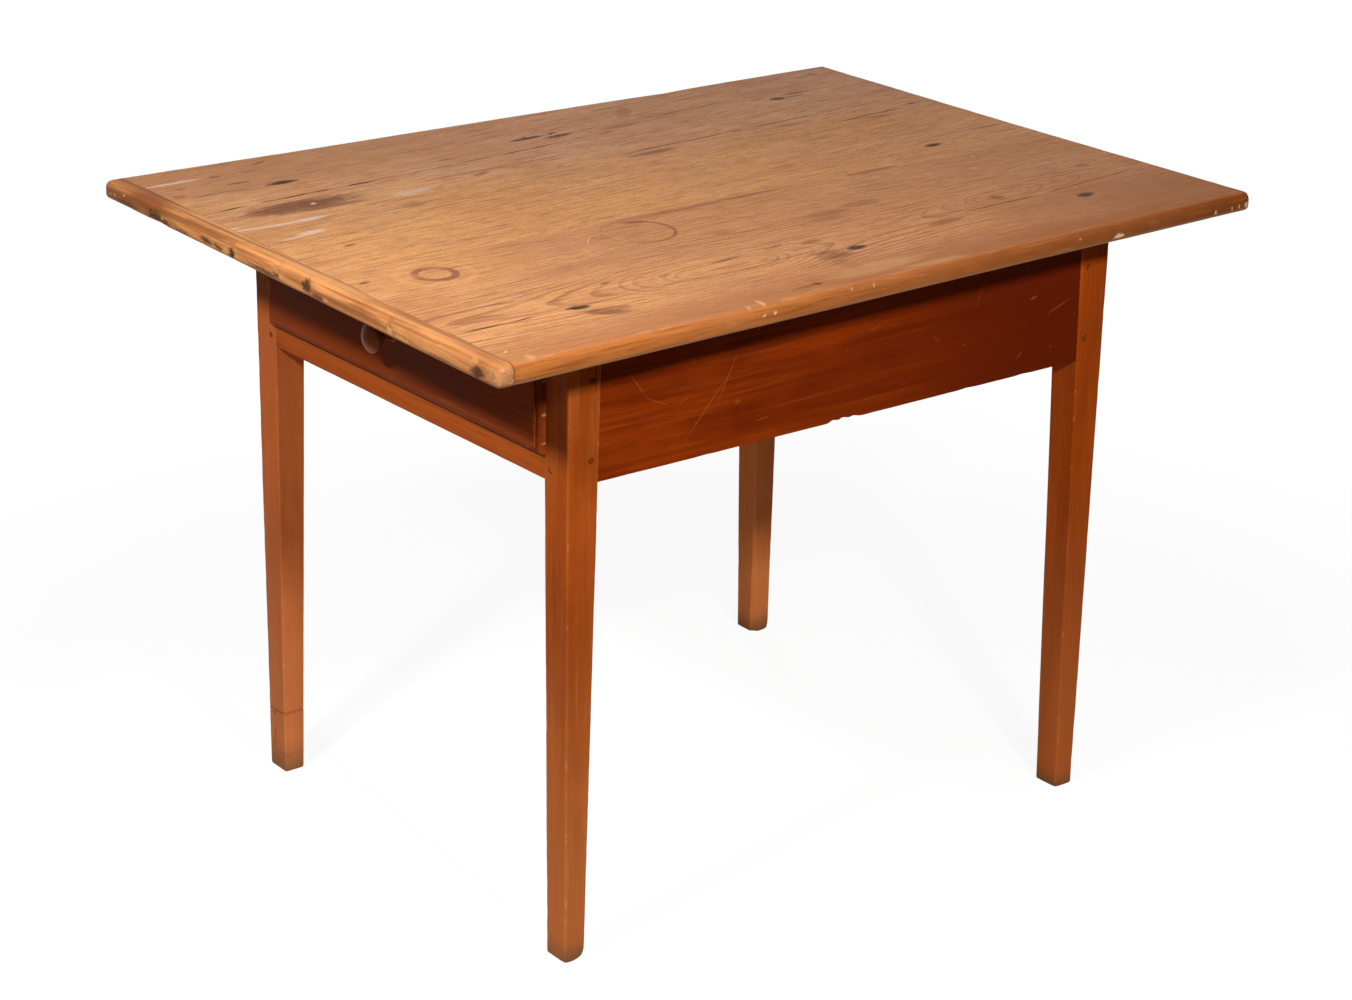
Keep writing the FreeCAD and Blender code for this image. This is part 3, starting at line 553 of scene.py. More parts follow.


# foot: height of its dirt in m, and it also makes the piece lighter towards the foot as painted light; fade:
# axis, start and end in m and share of the darker tone along the piece, a painted shade
def stainedMaterial(name, look, scratches=(), splits=(), plane=None, foot=0, fade=None, specular=0.02):
    b = newBench(name)
    place = b.place()
    x, y, z = axes = b.split(place)
    tones = dict(stainTone, scratch=look["worn"])
    tones.update(look)

    def grained(across, along):
        return tuple(along if i == look["grain"] else across for i in range(3))

    streak = b.noise(place, grained(230, 6), detail=4, rough=0.6)
    figure = b.noise(place, grained(24, 2.2), twist=0.6)
    thread = b.noise(place, grained(620, 22), detail=2)
    cloud = b.noise(place, 7, detail=4, rough=0.6)
    speck = b.noise(place, 520, detail=2)
    rubbed = b.noise(place, 210, detail=2, rough=0.4)
    chipped = b.span(b.noise(place, 75, detail=5, rough=0.75), 0.56, 0.67, 0.0, 0.6)
    layers = [(b.span(figure, 0.3, 0.72), "dark"), (streak, 0.46, 0.7, 0.55, "dark"),
              (streak, 0.45, 0.28, 0.2, "worn"), (thread, 0.5, 0.7, 0.45, "dark"),
              (cloud, 0.42, 0.75, 0.5, "light"), (speck, 0.6, 0.75, 0.35, "dark")]
    # painted shade: the piece darker along one axis, standing in for light falling off
    if fade:
        axis, start, end, share = fade
        layers.append((b.span(axes[axis], start, end, 0.0, share), "dark"))
    # worn arrises through the edge attribute; on the knob's rim this is partly a painted highlight
    layers += [(b.times(b.label("edge"), chipped), "worn"), (rubbed, 0.76, 0.8, 0.5, "worn")]
    for marks, kind, strength in ((scratches, "scratch", 0.6), (splits, "split", 0.9)):
        if marks:
            flat = b.pack(x if plane == "xz" else y, z)
            ragged = b.times(b.uneven(place, 160), 1.3)
            layers.append((b.times(b.spots(flat, ragged, marks, 0.5), strength), kind))
    if foot:
        # painted light: lighter towards the foot in the worn tone; below the foot height, dirt
        lift = b.scaled(b.minus(cloud, 0.5), 0.05, z)
        layers += [(z, 0.45, 0.05, 0.4, "worn"), (b.span(lift, foot, 0.0, 0.0, 0.7), "dirt")]
    # cracks and joints through the crack attribute; on the drawer's moulding crease and the knob's neck this
    # is painted shade
    layers.append((b.times(b.label("crack"), 0.95), "crack"))
    color = b.tint(look["light"], tones, layers)
    height = b.scaled(streak, 0.7, b.times(thread, 0.3))
    rough = b.span(cloud, 0.3, 0.7, 0.36, 0.5)
    return b.finish(color, rough, height, bumpDepth=0.0003, bumpStrength=0.4, specular=specular)


def ironMaterial():
    b = newBench("blackIron")
    rust = b.noise(b.place(), 300, detail=5, rough=0.7)
    color = b.mix(b.span(rust, 0.45, 0.7), (0.016, 0.014, 0.013), (0.085, 0.035, 0.016))
    rough = b.span(rust, 0.3, 0.7, 0.5, 0.85)
    return b.finish(color, rough, rust, bumpDepth=0.0006, bumpStrength=0.7, specular=0.3, metal=0.35)


# the top: each piece is lofted along X as part of an even rectangle, with rows that follow its cracks,
# and then drawn out to the top's own corners, which are not square
top = {
    "corners": ((-525, -398), (516, -372), (525, 372), (-504, 398)), "stripWidth": 20 * mm,
    "seamGap": 0.1 * mm, "corner": 3.5 * mm, "upperRound": 9.5 * mm, "lowerRound": 5 * mm,
    "edgeRows": (0, 0.4, 1.1, 2.2, 3.8, 5.8, 8, 12),
    "rowStep": 4 * mm, "nailStep": 1.6 * mm, "underStep": 24 * mm, "stationStep": 6 * mm, "wave": 0.3 * mm,
    "edgeWear": 0.4 * mm, "pitReach": (9 * mm, 4.5 * mm),
    "backBow": ((-510, 0), (-420, 1), (-300, 3.5), (100, 4.5), (190, 6), (250, 9), (275, 5.5),
                (330, 3), (450, 0)),
    "farBow": ((-385, 0), (-240, 1.5), (-60, 3), (120, 2.5), (385, 0)),
}
# plan points in mm, where each part is open and how far, half width and depth in mm
cracks = {
    "back": [
        {"line": [(-505, -28), (525, -28)], "open": [], "size": (0, 0)},
        {"line": [(-505, -8), (525, -8)], "open": [], "size": (0, 0)},
        {"line": [(-505, 122), (186, 132), (268, 130), (357, 131), (386, 135), (450, 139), (525, 138)],
            "open": [(230, 305, 0.7), (330, 500, 0.9)], "size": (0.7, 2)},
        {"line": [(-505, 140), (54, 158.6), (161, 163), (250, 168.6), (304, 172), (404, 176.5), (464, 183),
            (525, 190)], "open": [(50, 368, 0.85), (384, 470, 0.9)], "size": (0.7, 2.2)},
        {"line": [(-505, 203), (-430, 212), (-351, 217.5), (-251, 220), (-173, 226), (-30, 237), (46, 243.5),
            (168, 257), (525, 285)], "open": [(-503, -200, 1), (-250, 130, 0.75)], "size": (1, 3)},
        {"line": [(-505, 234), (-423, 240), (-300, 245), (-148, 251), (0, 257), (525, 292)],
            "open": [(-503, -440, 0.9), (-460, -120, 0.4)], "size": (0.6, 1.4)},
        {"line": [(-505, 275), (-471, 273), (-350, 272), (-12, 276), (25, 267), (46, 271), (82, 275),
            (179, 279), (250, 284), (321, 289), (525, 300)], "open": [(-480, -372, 0.9), (30, 325, 0.75)],
            "size": (0.7, 2)},
    ],
    "front": [
        {"line": [(-505, -292), (-369, -288), (-316, -285), (-209, -280), (-137, -285), (-101, -280),
            (-48, -273), (0, -266), (200, -252), (300, -248), (350, -243), (429, -234), (525, -223)],
            "open": [(-503, -355, 0.9), (-380, 10, 0.55), (190, 345, 0.9), (320, 505, 0.6)],
            "size": (0.7, 2)},
    ],
}
# worn places on the edge: x, y, reach and depth in mm
chips = [
    (-524, -397, 9, 2.5), (-503, -397, 5, 1.8), (515, -371, 6, 1.5), (304, -377, 8, 0.8),
    (458, -373, 4, 0.8), (486, -373, 4, 0.9), (-507, 278, 14, 2.2), (-510, 164, 10, 1.4), (-512, 107, 6, 1.2),
    (-514, 13, 9, 1.4), (-516, -48, 9, 1.8), (-520, -207, 7, 1.2), (-524, -363, 9, 2), (-505, 340, 14, 1.2)]

plan = [Vector(corner) * mm for corner in top["corners"]]
halfX = (plan[1] - plan[0] + plan[2] - plan[3]).x / 4
halfY = (plan[3] - plan[0] + plan[2] - plan[1]).y / 4
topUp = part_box("top_board_back")[1].z
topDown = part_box("top_board_back")[0].z
seamX = -halfX + top["stripWidth"]
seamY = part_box("top_board_back")[0].y


def quadPoint(x, y):  # from the even rectangle to the top's own outline
    u, v = (x / halfX + 1) / 2, (y / halfY + 1) / 2
    return plan[0].lerp(plan[1], u).lerp(plan[3].lerp(plan[2], u), v)


def evenPoint(x, y):  # and back, in a few steps
    goal = Vector((x, y))
    guess = goal.copy()
    for i in range(6):
        guess += goal - quadPoint(guess.x, guess.y)
    return guess


def evenRow(x, y):  # where a station of the even rectangle meets a line at y
    low, high = quadPoint(x, -halfY).y, quadPoint(x, halfY).y
    return ((y - low) / (high - low) * 2 - 1) * halfY


nailSpots = [evenPoint(*((low + high) / 2).xy) for low, high in looseBoxes("top_nails")]
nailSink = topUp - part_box("top_nails")[1].z + 0.3 * mm
chipSpots = [(evenPoint(cx * mm, cy * mm), reach * mm, depth * mm) for cx, cy, reach, depth in chips]


def outline(x, y):  # how far inside the rounded outline, and the way out
    dx, dy = halfX - abs(x), halfY - abs(y)
    r = top["corner"]
    if dx < r and dy < r:
        spoke = Vector((r - dx, r - dy))
        way = spoke.normalized() if spoke.length else Vector((0, 1))
        return r - spoke.length, Vector((math.copysign(way.x, x), math.copysign(way.y, y)))
    if dx < dy:
        return dx, Vector((math.copysign(1, x), 0))
    return dy, Vector((0, math.copysign(1, y)))


def roundDrop(inside, radius):
    return radius - math.sqrt(radius ** 2 - (radius - max(0, inside)) ** 2) if inside < radius else 0


def edgeAt(x):  # half width of the outline at x
    return halfY - roundDrop(halfX - abs(x), top["corner"])


def topPoint(x, y, upper, dip=0.0):
    inside, way = outline(x, y)
    wear = top["edgeWear"] * max(0, 0.35 + wander(3, x * 28, y * 28) + 0.5 * wander(4, x * 90, y * 90))
    for spot, reach, depth in chipSpots:
        away = (Vector((x, y)) - spot).length / reach
        if away < 2:
            wear += depth * math.exp(-away * away * 1.6) * (0.8 + 0.4 * wander(5, x * 160, y * 160))
    bow = alongTrack(top["backBow"], x / mm) * max(0, way.y)
    bow += alongTrack(top["farBow"], y / mm) * max(0, way.x)
    hold = ease(26 * mm, 0, inside)
    moved = Vector((x, y)) - way * (wear + bow * mm) * hold
    if upper:
        z = topUp - roundDrop(inside, top["upperRound"]) - dip - wear * hold * 0.35
        z -= top["wave"] * (1 + wander(1, x * 4, y * 9)) / 2
    else:
        z = topDown + roundDrop(inside, top["lowerRound"])
    return Vector((*quadPoint(moved.x, moved.y), z))


def crackRows(crack, x):  # y, depth and darkness of the five rows of a crack
    spot = quadPoint(x, 0).x / mm
    seed = crack["line"][0][1]
    middle = alongTrack(crack["line"], spot) + 0.8 * wander(7, spot * 0.045, seed)
    amount = max([0.0] + [strength * ease(start, start + 25, spot) * ease(end, end - 50, spot)
                          for start, end, strength in crack["open"]])
    amount *= clamp(0.8 + 0.9 * wander(8, spot * 0.035, seed))
    width, depth = crack["size"]
    half = 0.2 + width * amount
    rows = ((-half - 0.9, 0, 0), (-half, 0, amount), (0, depth * amount, amount), (half, 0, amount),
            (half + 0.9, 0, 0))
    return [(evenRow(x, (middle + offset) * mm), dip * mm, dark) for offset, dip, dark in rows]


def pitAt(x, y):  # hollow worn round a nail, down to its head
    for spot in nailSpots:
        away = Vector(((x - spot.x) / top["pitReach"][0], (y - spot.y) / top["pitReach"][1])).length
        if away < 1.4:
            return nailSink * ease(1.1, 0.6, away + 0.25 * wander(9, x * 120, y * 120))
    return 0.0


def fillCount(grid, i):  # rows put in between two rows, closer together beside nails
    widest = max(rows[i + 1][0] - rows[i][0] for rows in grid)
    low, high = min(rows[i][0] for rows in grid), max(rows[i + 1][0] for rows in grid)
    beside = widest < 60 * mm and any(low - 4 * mm < spot.y < high + 4 * mm for spot in nailSpots)
    return max(1, round(widest / (top["nailStep"] if beside else top["rowStep"])))


def topPiece(node, stations, seamLow, seamHigh, openings, darkEnd, material):
    edgeRows = [row * mm for row in top["edgeRows"]]
    lowRows = edgeRows if seamLow is None else edgeRows[:3]
    highRows = edgeRows if seamHigh is None else edgeRows[:3]
    grid = []  # per station: rows that must be hit, with depth and darkness
    for x in stations:
        low = evenRow(x, seamLow) + top["seamGap"] if seamLow is not None else -edgeAt(x)
        high = evenRow(x, seamHigh) - top["seamGap"] if seamHigh is not None else edgeAt(x)
        rows = [(low + row, 0.0, 0.0) for row in lowRows]
        for crack in openings:
            rows += crackRows(crack, x)
        grid.append(rows + [(high - row, 0.0, 0.0) for row in reversed(highRows)])
    fills = [fillCount(grid, i) for i in range(len(grid[0]) - 1)]
    underCount = round(2 * halfY / top["underStep"])
    sections, darkness = [], []
    for x, anchors in zip(stations, grid):
        rows = []
        for (a, dip, dark), (c, nextDip, nextDark), count in zip(anchors, anchors[1:], fills):
            rows += [(a + (c - a) * i / count, dip if i == 0 else 0.0, dark + (nextDark - dark) * i / count)
                     for i in range(count)]
        rows.append(anchors[-1])
        section = []
        for y, dip, dark in rows:
            hollow = pitAt(x, y)
            section.append(topPoint(x, y, True, dip + hollow))
            joint = 0.75 * clamp(0.35 + 1.4 * wander(6, y * 22)) * ease(0.24, 0.0, y) if x == darkEnd else 0.0
            darkness.append(max(dark, joint, 0.6 * ease(0, nailSink, hollow)))
        low, high = anchors[0][0], anchors[-1][0]
        under = [high - row for row in (edgeRows[:6] if seamHigh is None else edgeRows[:1])]
        under += [high + (low - high) * i / underCount for i in range(1, underCount)]
        under += [low + row for row in reversed(edgeRows[:6] if seamLow is None else edgeRows[:1])]
        section += [topPoint(x, y, False) for y in under]
        darkness += [0.3 if x == darkEnd else 0.0] * len(under)
        sections.append(section)
    return makePiece(node, *loft(sections), "table_frame", "pine_top", material, 50, crack=darkness)


boardStart = seamX + top["seamGap"]
endRows = [halfX - row * mm for row in reversed(top["edgeRows"])]
allStations = [boardStart] + steps(boardStart + 1.3 * mm, endRows[0] - 4 * mm, top["stationStep"])
for spot in nailSpots:
    allStations += steps(spot.x - 12 * mm, spot.x + 12 * mm, 1.8 * mm)
allStations.sort()
boardStations = [boardStart] + [x for last, x in zip(allStations, allStations[1:]) if x - last > 0.4 * mm]
boardStations += endRows
pineFront = pineMaterial("pineFrontBoard", boardLook["front"], (-1000, -61))
pineBack = pineMaterial("pineBackBoard", boardLook["back"], (-61, 1000))
topPiece("top_board_front", boardStations, None, seamY, cracks["front"], boardStart, pineFront)
topPiece("top_board_back", boardStations, seamY, None, cracks["back"], boardStart, pineBack)
stripEnd = seamX - top["seamGap"]
stripStations = [-halfX + row * mm for row in top["edgeRows"]] + [stripEnd - row * mm for row in (4, 1.3, 0)]
topPiece("top_end_strip", stripStations, None, None, [], stripEnd, stripMaterial())
print("top boards made")


def applyModifiers(piece):
    shaped = piece.evaluated_get(bpy.context.evaluated_depsgraph_get())
    mesh = bpy.data.meshes.new_from_object(shaped)
    piece.modifiers.clear()
    piece.data = mesh
    mesh.set_sharp_from_angle(angle=math.radians(40))


def boreHoles(piece, spots, radius, depth):  # spots: point on the face and the way in
    rods = []
    for point, way in spots:
        turn = Vector((0, 0, 1)).rotation_difference(way).to_matrix()
        circle = [Vector((math.cos(a), math.sin(a), 0)) * radius for a in steps(0, 2 * math.pi, 0.5)[:-1]]
        ends = [Vector((0, 0, reach)) for reach in (-depth, depth)]
        rods.append([[point + turn @ (c + end) for c in circle] for end in ends])
    cutter = show(makeMesh("bore", *loftAll(rods), {}), "bore")
    cut = piece.modifiers.new("bore", "BOOLEAN")
    cut.object = cutter
    cut.operation = "DIFFERENCE"
    cut.solver = "EXACT"
    applyModifiers(piece)
    bpy.data.objects.remove(cutter)


def bitten(spot, bites):  # depth there; bites: place in m, reach and depth in mm
    depths = [0.0]
    for bx, by, bz, reach, depth in bites:
        away = (spot - Vector((bx, by, bz))).length / (reach * mm)
        depths.append(depth * mm * math.exp(-away * away * 1.5))
    return sum(depths)


# legs: planed tapers with eased arrises, a worn foot and bored peg holes
legLook = {"foot": (25.5 * mm, 33 * mm), "arris": 1.5 * mm, "flank": 1.2 * mm, "chamfer": 8 * mm,
           "chamferTop": 220 * mm, "step": 9 * mm, "planing": 0.28 * mm, "footRows": (0, 0.5, 1.4, 2.8, 5, 8),
           "footRound": 3.6 * mm, "sides": (5, 4, 2, 4, 5), "wear": 0.5 * mm}
legBites = [(-0.3468, -0.299, 0.0, 9, 3.5), (-0.372, -0.299, 0.0, 6, 1.6), (0.3465, -0.299, 0.0, 6, 2.0),
            (-0.3465, 0.299, 0.0, 6, 2.0), (0.372, 0.266, 0.0, 7, 1.8), (-0.372, -0.299, 0.31, 5, 0.8)]
legs = {"leg_front_left": (-1, -1), "leg_front_right": (1, -1), "leg_back_right": (1, 1),
        "leg_back_left": (-1, 1), "leg_tip_back_left": (-1, 1)}
splits = [(-338.5, 664, 0.8, 30, 1.5, 0.85), (-339.3, 611, 0.6, 20, 1.5, 0.6), (-337.5, 566, 0.5, 14, 0, 0.4)]
tipMarks = [(282, 76, 20, 0.9, 0, 1), (287, 44, 1.3, 9, 8, 0.9), (286, 72, 3, 3, 0, 0.9),
    (272, 24, 9, 1, 10, 0.6), (290, 30, 2, 4, 0, 0.7)]
peg = {"radius": 3.3 * mm, "proud": 0.35 * mm, "length": 24 * mm, "sides": 8, "hole": 3.55 * mm,
       "holeDepth": 7 * mm}
peg["rows"] = ((-peg["proud"], 0.55), (-0.7 * peg["proud"], 0.82), (0.25 * mm, 1), (peg["length"], 0.86))
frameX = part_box("leg_front_right")[1].x
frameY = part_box("leg_back_right")[1].y
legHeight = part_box("leg_front_right")[1].z
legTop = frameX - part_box("leg_front_right")[0].x
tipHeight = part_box("leg_back_left")[0].z


def legSection(sx, sy, z, inset):
    outer = Vector((sx * (frameX - inset), sy * (frameY - inset)))
    wx, wy = [foot + (legTop - foot) * z / legHeight - 2 * inset for foot in legLook["foot"]]
    worn = sx > 0 and sy > 0  # only the back right leg has its inner arris cut away
    c = max(0.9 * mm, legLook["chamfer"] * (1 - z / legLook["chamferTop"]) if worn else 0)
    reach = [(0, 0), (wx, 0), (wx, wy - c), (wx - c, wy), (0, wy)]
    corners = [outer - Vector((sx * a, sy * b)) for a, b in reach]
    r = legLook["arris"]
    return roundedSection(corners, (r, r, 0.3 * r, 0.3 * r, r), legLook["sides"], 3, legLook["flank"])


def legPiece(node, sx, sy, material):
    low = tipHeight if node == "leg_back_left" else 0.0
    high = tipHeight if node == "leg_tip_back_left" else legHeight
    sections, edge = [], []
    for z in [low + row * mm for row in legLook["footRows"]] + steps(low + 12 * mm, high, legLook["step"]):
        curl = roundDrop(z - low, legLook["footRound"]) * (1 if low == 0 else 0.25)
        points, nearness = legSection(sx, sy, z, curl)
        middle = sum(points, Vector((0, 0))) / len(points)
        section = []
        for point, near in zip(points, nearness):
            way = (point - middle).normalized()
            push = legLook["planing"] * (wander(11, point.x * 9, point.y * 9, z * 14) - 0.4)
            push -= near * legLook["wear"] * max(0, wander(12, point.x * 40, point.y * 40, z * 60))
            push -= bitten(Vector((*point, z)), legBites)
            section.append(Vector((*(point + way * min(0, push)), z)))
        sections.append(section)
        edge += nearness
    return makePiece(node, *loft(sections), "table_frame", "stained_wood", material, 45, edge=edge)


pegSpots = []  # node, point on the leg's face and the way in
for node, axis in (("apron_pegs", 1), ("end_apron_pegs", 0), ("rail_pegs", 0)):
    for low, high in looseBoxes(node):
        point = (low + high) / 2
        side = math.copysign(1, point[axis])
        point[axis] = side * (frameY if axis else frameX)
        way = Vector((0, -side, 0)) if axis else Vector((-side, 0, 0))
        pegSpots.append((node, point, way))
# painted light: the left and rear legs take lighter copies of the stain; the left leg darkens towards its top
# as painted shade
leftLegPaintedLitStain = stainedMaterial("leftLegPaintedLitStain", stainLook["leftLeg"], foot=0.06, splits=tipMarks, plane="yz",
                               fade=(2, 0.4, 0.6, 0.45))
nearLegStain = stainedMaterial("nearLegStain", stainLook["leg"], foot=0.03, splits=splits, plane="xz")
legStains = {"leg_front_left": nearLegStain,
             "leg_front_right": stainedMaterial("rightLegStain", stainLook["rightLeg"], foot=0.03),
             "leg_back_right": stainedMaterial("rearLegPaintedLitStain", stainLook["rearLegPaintedLit"], foot=0.03),
             "leg_back_left": leftLegPaintedLitStain, "leg_tip_back_left": leftLegPaintedLitStain}
for node, (sx, sy) in legs.items():
    leg = legPiece(node, sx, sy, legStains[node])
    if node != "leg_tip_back_left":
        inReach = [(p, way) for kind, p, way in pegSpots if p.x * sx > 0 and p.y * sy > 0]
        boreHoles(leg, inReach, peg["hole"], peg["holeDepth"])
print("legs made")


# pegs: whittled ends a little proud of the leg
def pegPiece(node, material):
    rods = []
    for number, (kind, point, way) in enumerate(pegSpots):
        if kind != node:
            continue
        turn = Vector((0, 0, 1)).rotation_difference(way).to_matrix()
        sections = []
        for reach, share in peg["rows"]:
            ring = []
            for i in range(peg["sides"]):
                a = 2 * math.pi * i / peg["sides"] + number
                r = peg["radius"] * share * (1 + 0.1 * wander(14, i * 3.1, number * 2.7))
                lean = 0.12 * mm * wander(15, i * 1.7, number * 5.2) if reach < 0 else 0
                ring.append(point + turn @ Vector((math.cos(a) * r, math.sin(a) * r, reach + lean)))
            sections.append(ring)
        rods.append(sections)
    return makePiece(node, *loftAll(rods), "table_frame", "stained_wood", material, 30)


pegStain = stainedMaterial("pegStain", stainLook["peg"])
for node in ("apron_pegs", "end_apron_pegs", "rail_pegs"):
    pegPiece(node, pegStain)
print("pegs made")

# aprons and rails: planks lofted along their length, planed by hand
plankLook = {"arris": 1.0 * mm, "flank": 1.2 * mm, "step": 14 * mm, "fineStep": 2.5 * mm, "planing": 0.3 * mm,
             "wear": 0.4 * mm, "skin": 2 * mm, "intoLeg": 6 * mm, "row": 14 * mm}
apronBites = [(x, -0.297, 0.535, reach, depth) for x, reach, depth in
              ((-0.022, 7, 2.6), (-0.008, 8, 3.0), (0.006, 7, 2.2), (-0.20, 5, 0.9),
               (0.17, 5, 0.8), (0.25, 4, 1.0))]
apronScratches = [
    (-284, 628, 17, 0.6, -52, 0.6), (-262, 607, 14, 0.6, -25, 0.5),
    (-225, 601, 9, 0.6, 25, 0.5), (-196, 586, 30, 0.6, 48, 0.7), (-170, 612, 24, 0.6, 62, 0.7),
    (-128, 660, 7, 0.8, 60, 0.6), (-154, 585, 4, 2, 0, 0.5), (300, 605, 16, 0.8, 18, 0.7),
    (262, 622, 5, 1.6, 10, 0.6), (180, 640, 12, 0.6, 70, 0.4), (-120, 560, 10, 0.8, 5, 0.5),
    (120, 600, 6, 0.9, -30, 0.4), (245, 560, 5, 1.4, 40, 0.5), (30, 630, 9, 0.6, 15, 0.4)]


def plank(node, axis, reach, material, bites=(), fine=()):  # its box, cut back to the reach along its length
    low, high = [corner.copy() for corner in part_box(node)]
    low[axis], high[axis] = -reach, reach
    a, c = [i for i in range(3) if i != axis]
    corners = [Vector((p[a], q[c])) for p, q in ((low, low), (high, low), (high, high), (low, high))]
    counts = [max(2, round((corners[(i + 1) % 4] - corners[i]).length / plankLook["row"])) for i in range(4)]
    points, nearness = roundedSection(corners, [plankLook["arris"]] * 4, counts, 2, plankLook["flank"])
    middle = sum(points, Vector((0, 0))) / len(points)
    skin = plankLook["skin"]
    stations = steps(low[axis], high[axis], plankLook["step"])
    for start, end in fine:
        stations += steps(start, end, plankLook["fineStep"])
    sections, edge = [], []
    for t in sorted(set(round(s, 5) for s in stations)):
        section = []
        for point, near in zip(points, nearness):
            spot = Vector((0, 0, 0))
            spot[axis], spot[a], spot[c] = t, point.x, point.y
            way = Vector((0, 0, 0))
            for i, across, centre in ((a, point.x, middle.x), (c, point.y, middle.y)):
                if across < low[i] + skin or across > high[i] - skin:
                    way[i] = math.copysign(1, across - centre)
            push = plankLook["planing"] * (wander(21, *(spot * 6)) - 0.4)
            push -= near * plankLook["wear"] * max(0, wander(22, *(spot * 45)))
            push -= bitten(spot, bites)
            section.append(spot + way.normalized() * min(0, push))
        sections.append(section)
        edge += nearness
    return makePiece(node, *loft(sections), "table_frame", "stained_wood", material, 45, edge=edge)


insideX = frameX - legTop + plankLook["intoLeg"]
insideY = frameY - legTop + plankLook["intoLeg"]
# painted shade: the apron darkens to the right, standing in for the lamps' falloff
apronStain = stainedMaterial("apronStain", stainLook["apron"], scratches=apronScratches, plane="xz",
                             fade=(0, -0.15, 0.25, 0.95))
railStain = stainedMaterial("railStain", stainLook["rail"])
endStain = stainedMaterial("endApronStain", dict(stainLook["apron"], grain=1))
plank("apron_front", 0, insideX, apronStain, apronBites, [(-0.04, 0.03)])
plank("apron_back", 0, insideX, apronStain)
plank("apron_end", 1, insideY, endStain)
plank("drawer_rail_lower", 1, insideY, railStain)
plank("drawer_rail_upper", 1, insideY, railStain)
print("aprons and rails made")

# drawer front: lip with a quarter-round and a small step, then the flat field
lip = {"mould": 6.5 * mm, "step": 1.5 * mm, "edge": 2.5 * mm, "arcCount": 6, "row": 12 * mm, "wear": 0.5 * mm,
       "thickness": 9 * mm, "bodyHalf": 256 * mm, "bodyLow": 568.5 * mm, "bodyHigh": 673.8 * mm}


def drawerFront(material):
    low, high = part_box("drawer_front")
    back = low.x + lip["thickness"]
    profile = [(high.x, None), (back, None), (back, 0.0), (back - lip["edge"], 0.0)]
    drop = lip["thickness"] - lip["edge"] - lip["step"]
    for i in range(1, lip["arcCount"] + 1):
        a = math.pi / 2 * i / lip["arcCount"]
        profile.append((back - lip["edge"] - drop * math.sin(a), lip["mould"] * (1 - math.cos(a))))
    profile += [(low.x + sunk * mm, lip["mould"] + far * mm) for sunk, far in ((0.3, 0.1), (0, 0.5), (0, 6))]
    countY = round((high.y - low.y) / lip["row"])
    countZ = round((high.z - low.z) / lip["row"])
    groove = len(profile) - 4  # the last row of the arc
    sections, edge, crack = [], [], []
    for row, (x, inset) in enumerate(profile):
        if inset is None:
            y0, y1, z0, z1 = -lip["bodyHalf"], lip["bodyHalf"], lip["bodyLow"], lip["bodyHigh"]
        else:
            y0, y1, z0, z1 = low.y + inset, high.y - inset, low.z + inset, high.z - inset
        loop = [(y0 + (y1 - y0) * i / countY, z0) for i in range(countY)]
        loop += [(y1, z0 + (z1 - z0) * i / countZ) for i in range(countZ)]
        loop += [(y1 - (y1 - y0) * i / countY, z1) for i in range(countY)]
        loop += [(y0, z1 - (z1 - z0) * i / countZ) for i in range(countZ)]
        section = []
        for y, z in loop:
            rub = lip["wear"] * max(0, wander(31, y * 60, z * 60, row)) if row > 2 else 0
            section.append(Vector((x + rub * 0.6, y - math.copysign(rub, y) * 0.4, z)))
        sections.append(section)
        edge += [0.4 if row in (3, 4, groove + 1, groove + 2) else 0.0] * len(loop)
        # the crack attribute darkens the moulding a little and its crease strongly; the dark crease is
        # painted shade
        crack += [0.8 if row == groove else 0.3 if 2 < row < groove else 0.0] * len(loop)
    return makePiece("drawer_front", *loft(sections), "drawer", "stained_wood", material, 35,
                     edge=edge, crack=crack)


drawerScratches = [(y, z, w, h, 0, 0.8) for y, z, w, h in (
    (-262, 640, 0.5, 0.9), (-263, 622, 0.4, 0.7), (-262, 605, 0.6, 1.3), (-263, 590, 0.5, 0.8),
    (-262, 575, 0.7, 0.7), (-240, 566, 2, 0.6), (-263, 655, 0.5, 0.7), (-262, 648, 0.4, 0.6),
    (-263, 598, 0.4, 0.6))]
drawerFront(stainedMaterial("drawerStain", stainLook["drawer"], scratches=drawerScratches, plane="yz"))

# knob: turned, with a coved neck and a domed face
knob = {"sides": 48, "tenon": 6, "profile": [
    (0, 9.2), (1.5, 9.1), (3, 7.8), (5, 6.9), (8, 6.5), (11.5, 6.6), (14.5, 7.1), (17, 8.2), (19.4, 10),
    (21.6, 12.4), (23.8, 14.5), (26, 15.8), (28, 16.4), (29, 16.4), (30, 15.9), (30.8, 14.9), (32, 13.4),
    (33.6, 10.6), (35, 7.4), (36, 4), (36.7, 0.6)]}


def turnedKnob(material):
    low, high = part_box("drawer_knob")
    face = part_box("drawer_front")[0].x
    axisZ = (low.z + high.z) / 2
    line = [(face - high.x, knob["tenon"] * mm), (0.0, knob["tenon"] * mm)]
    line += [(along * mm, radius * mm) for along, radius in knob["profile"]]
    turns = [2 * math.pi * i / knob["sides"] for i in range(knob["sides"])]
    sections, edge, crack = [], [], []
    for along, radius in line:
        sections.append([Vector((face - along, radius * math.cos(a), axisZ + radius * math.sin(a)))
                         for a in turns])
        # painted highlight: the rim is lighter through the edge attribute, partly real wear
        edge += [ease(15 * mm, 16.8 * mm, radius) * 0.8] * len(turns)
        # painted shade: the coved neck behind the rim is darkened through the crack attribute
        crack += [0.4 if 4 * mm < along < 9 * mm else 0.0] * len(turns)
    return makePiece("drawer_knob", *loft(sections), "drawer", "stained_wood", material, 50,
                     edge=edge, crack=crack)


turnedKnob(stainedMaterial("knobStain", stainLook["knob"], specular=0.1))
print("drawer front and knob made")

# iron nails: hammered heads on tapered square shanks
nail = {"crown": 0.8 * mm, "headThickness": 2 * mm, "headShare": 0.5, "points": 8}


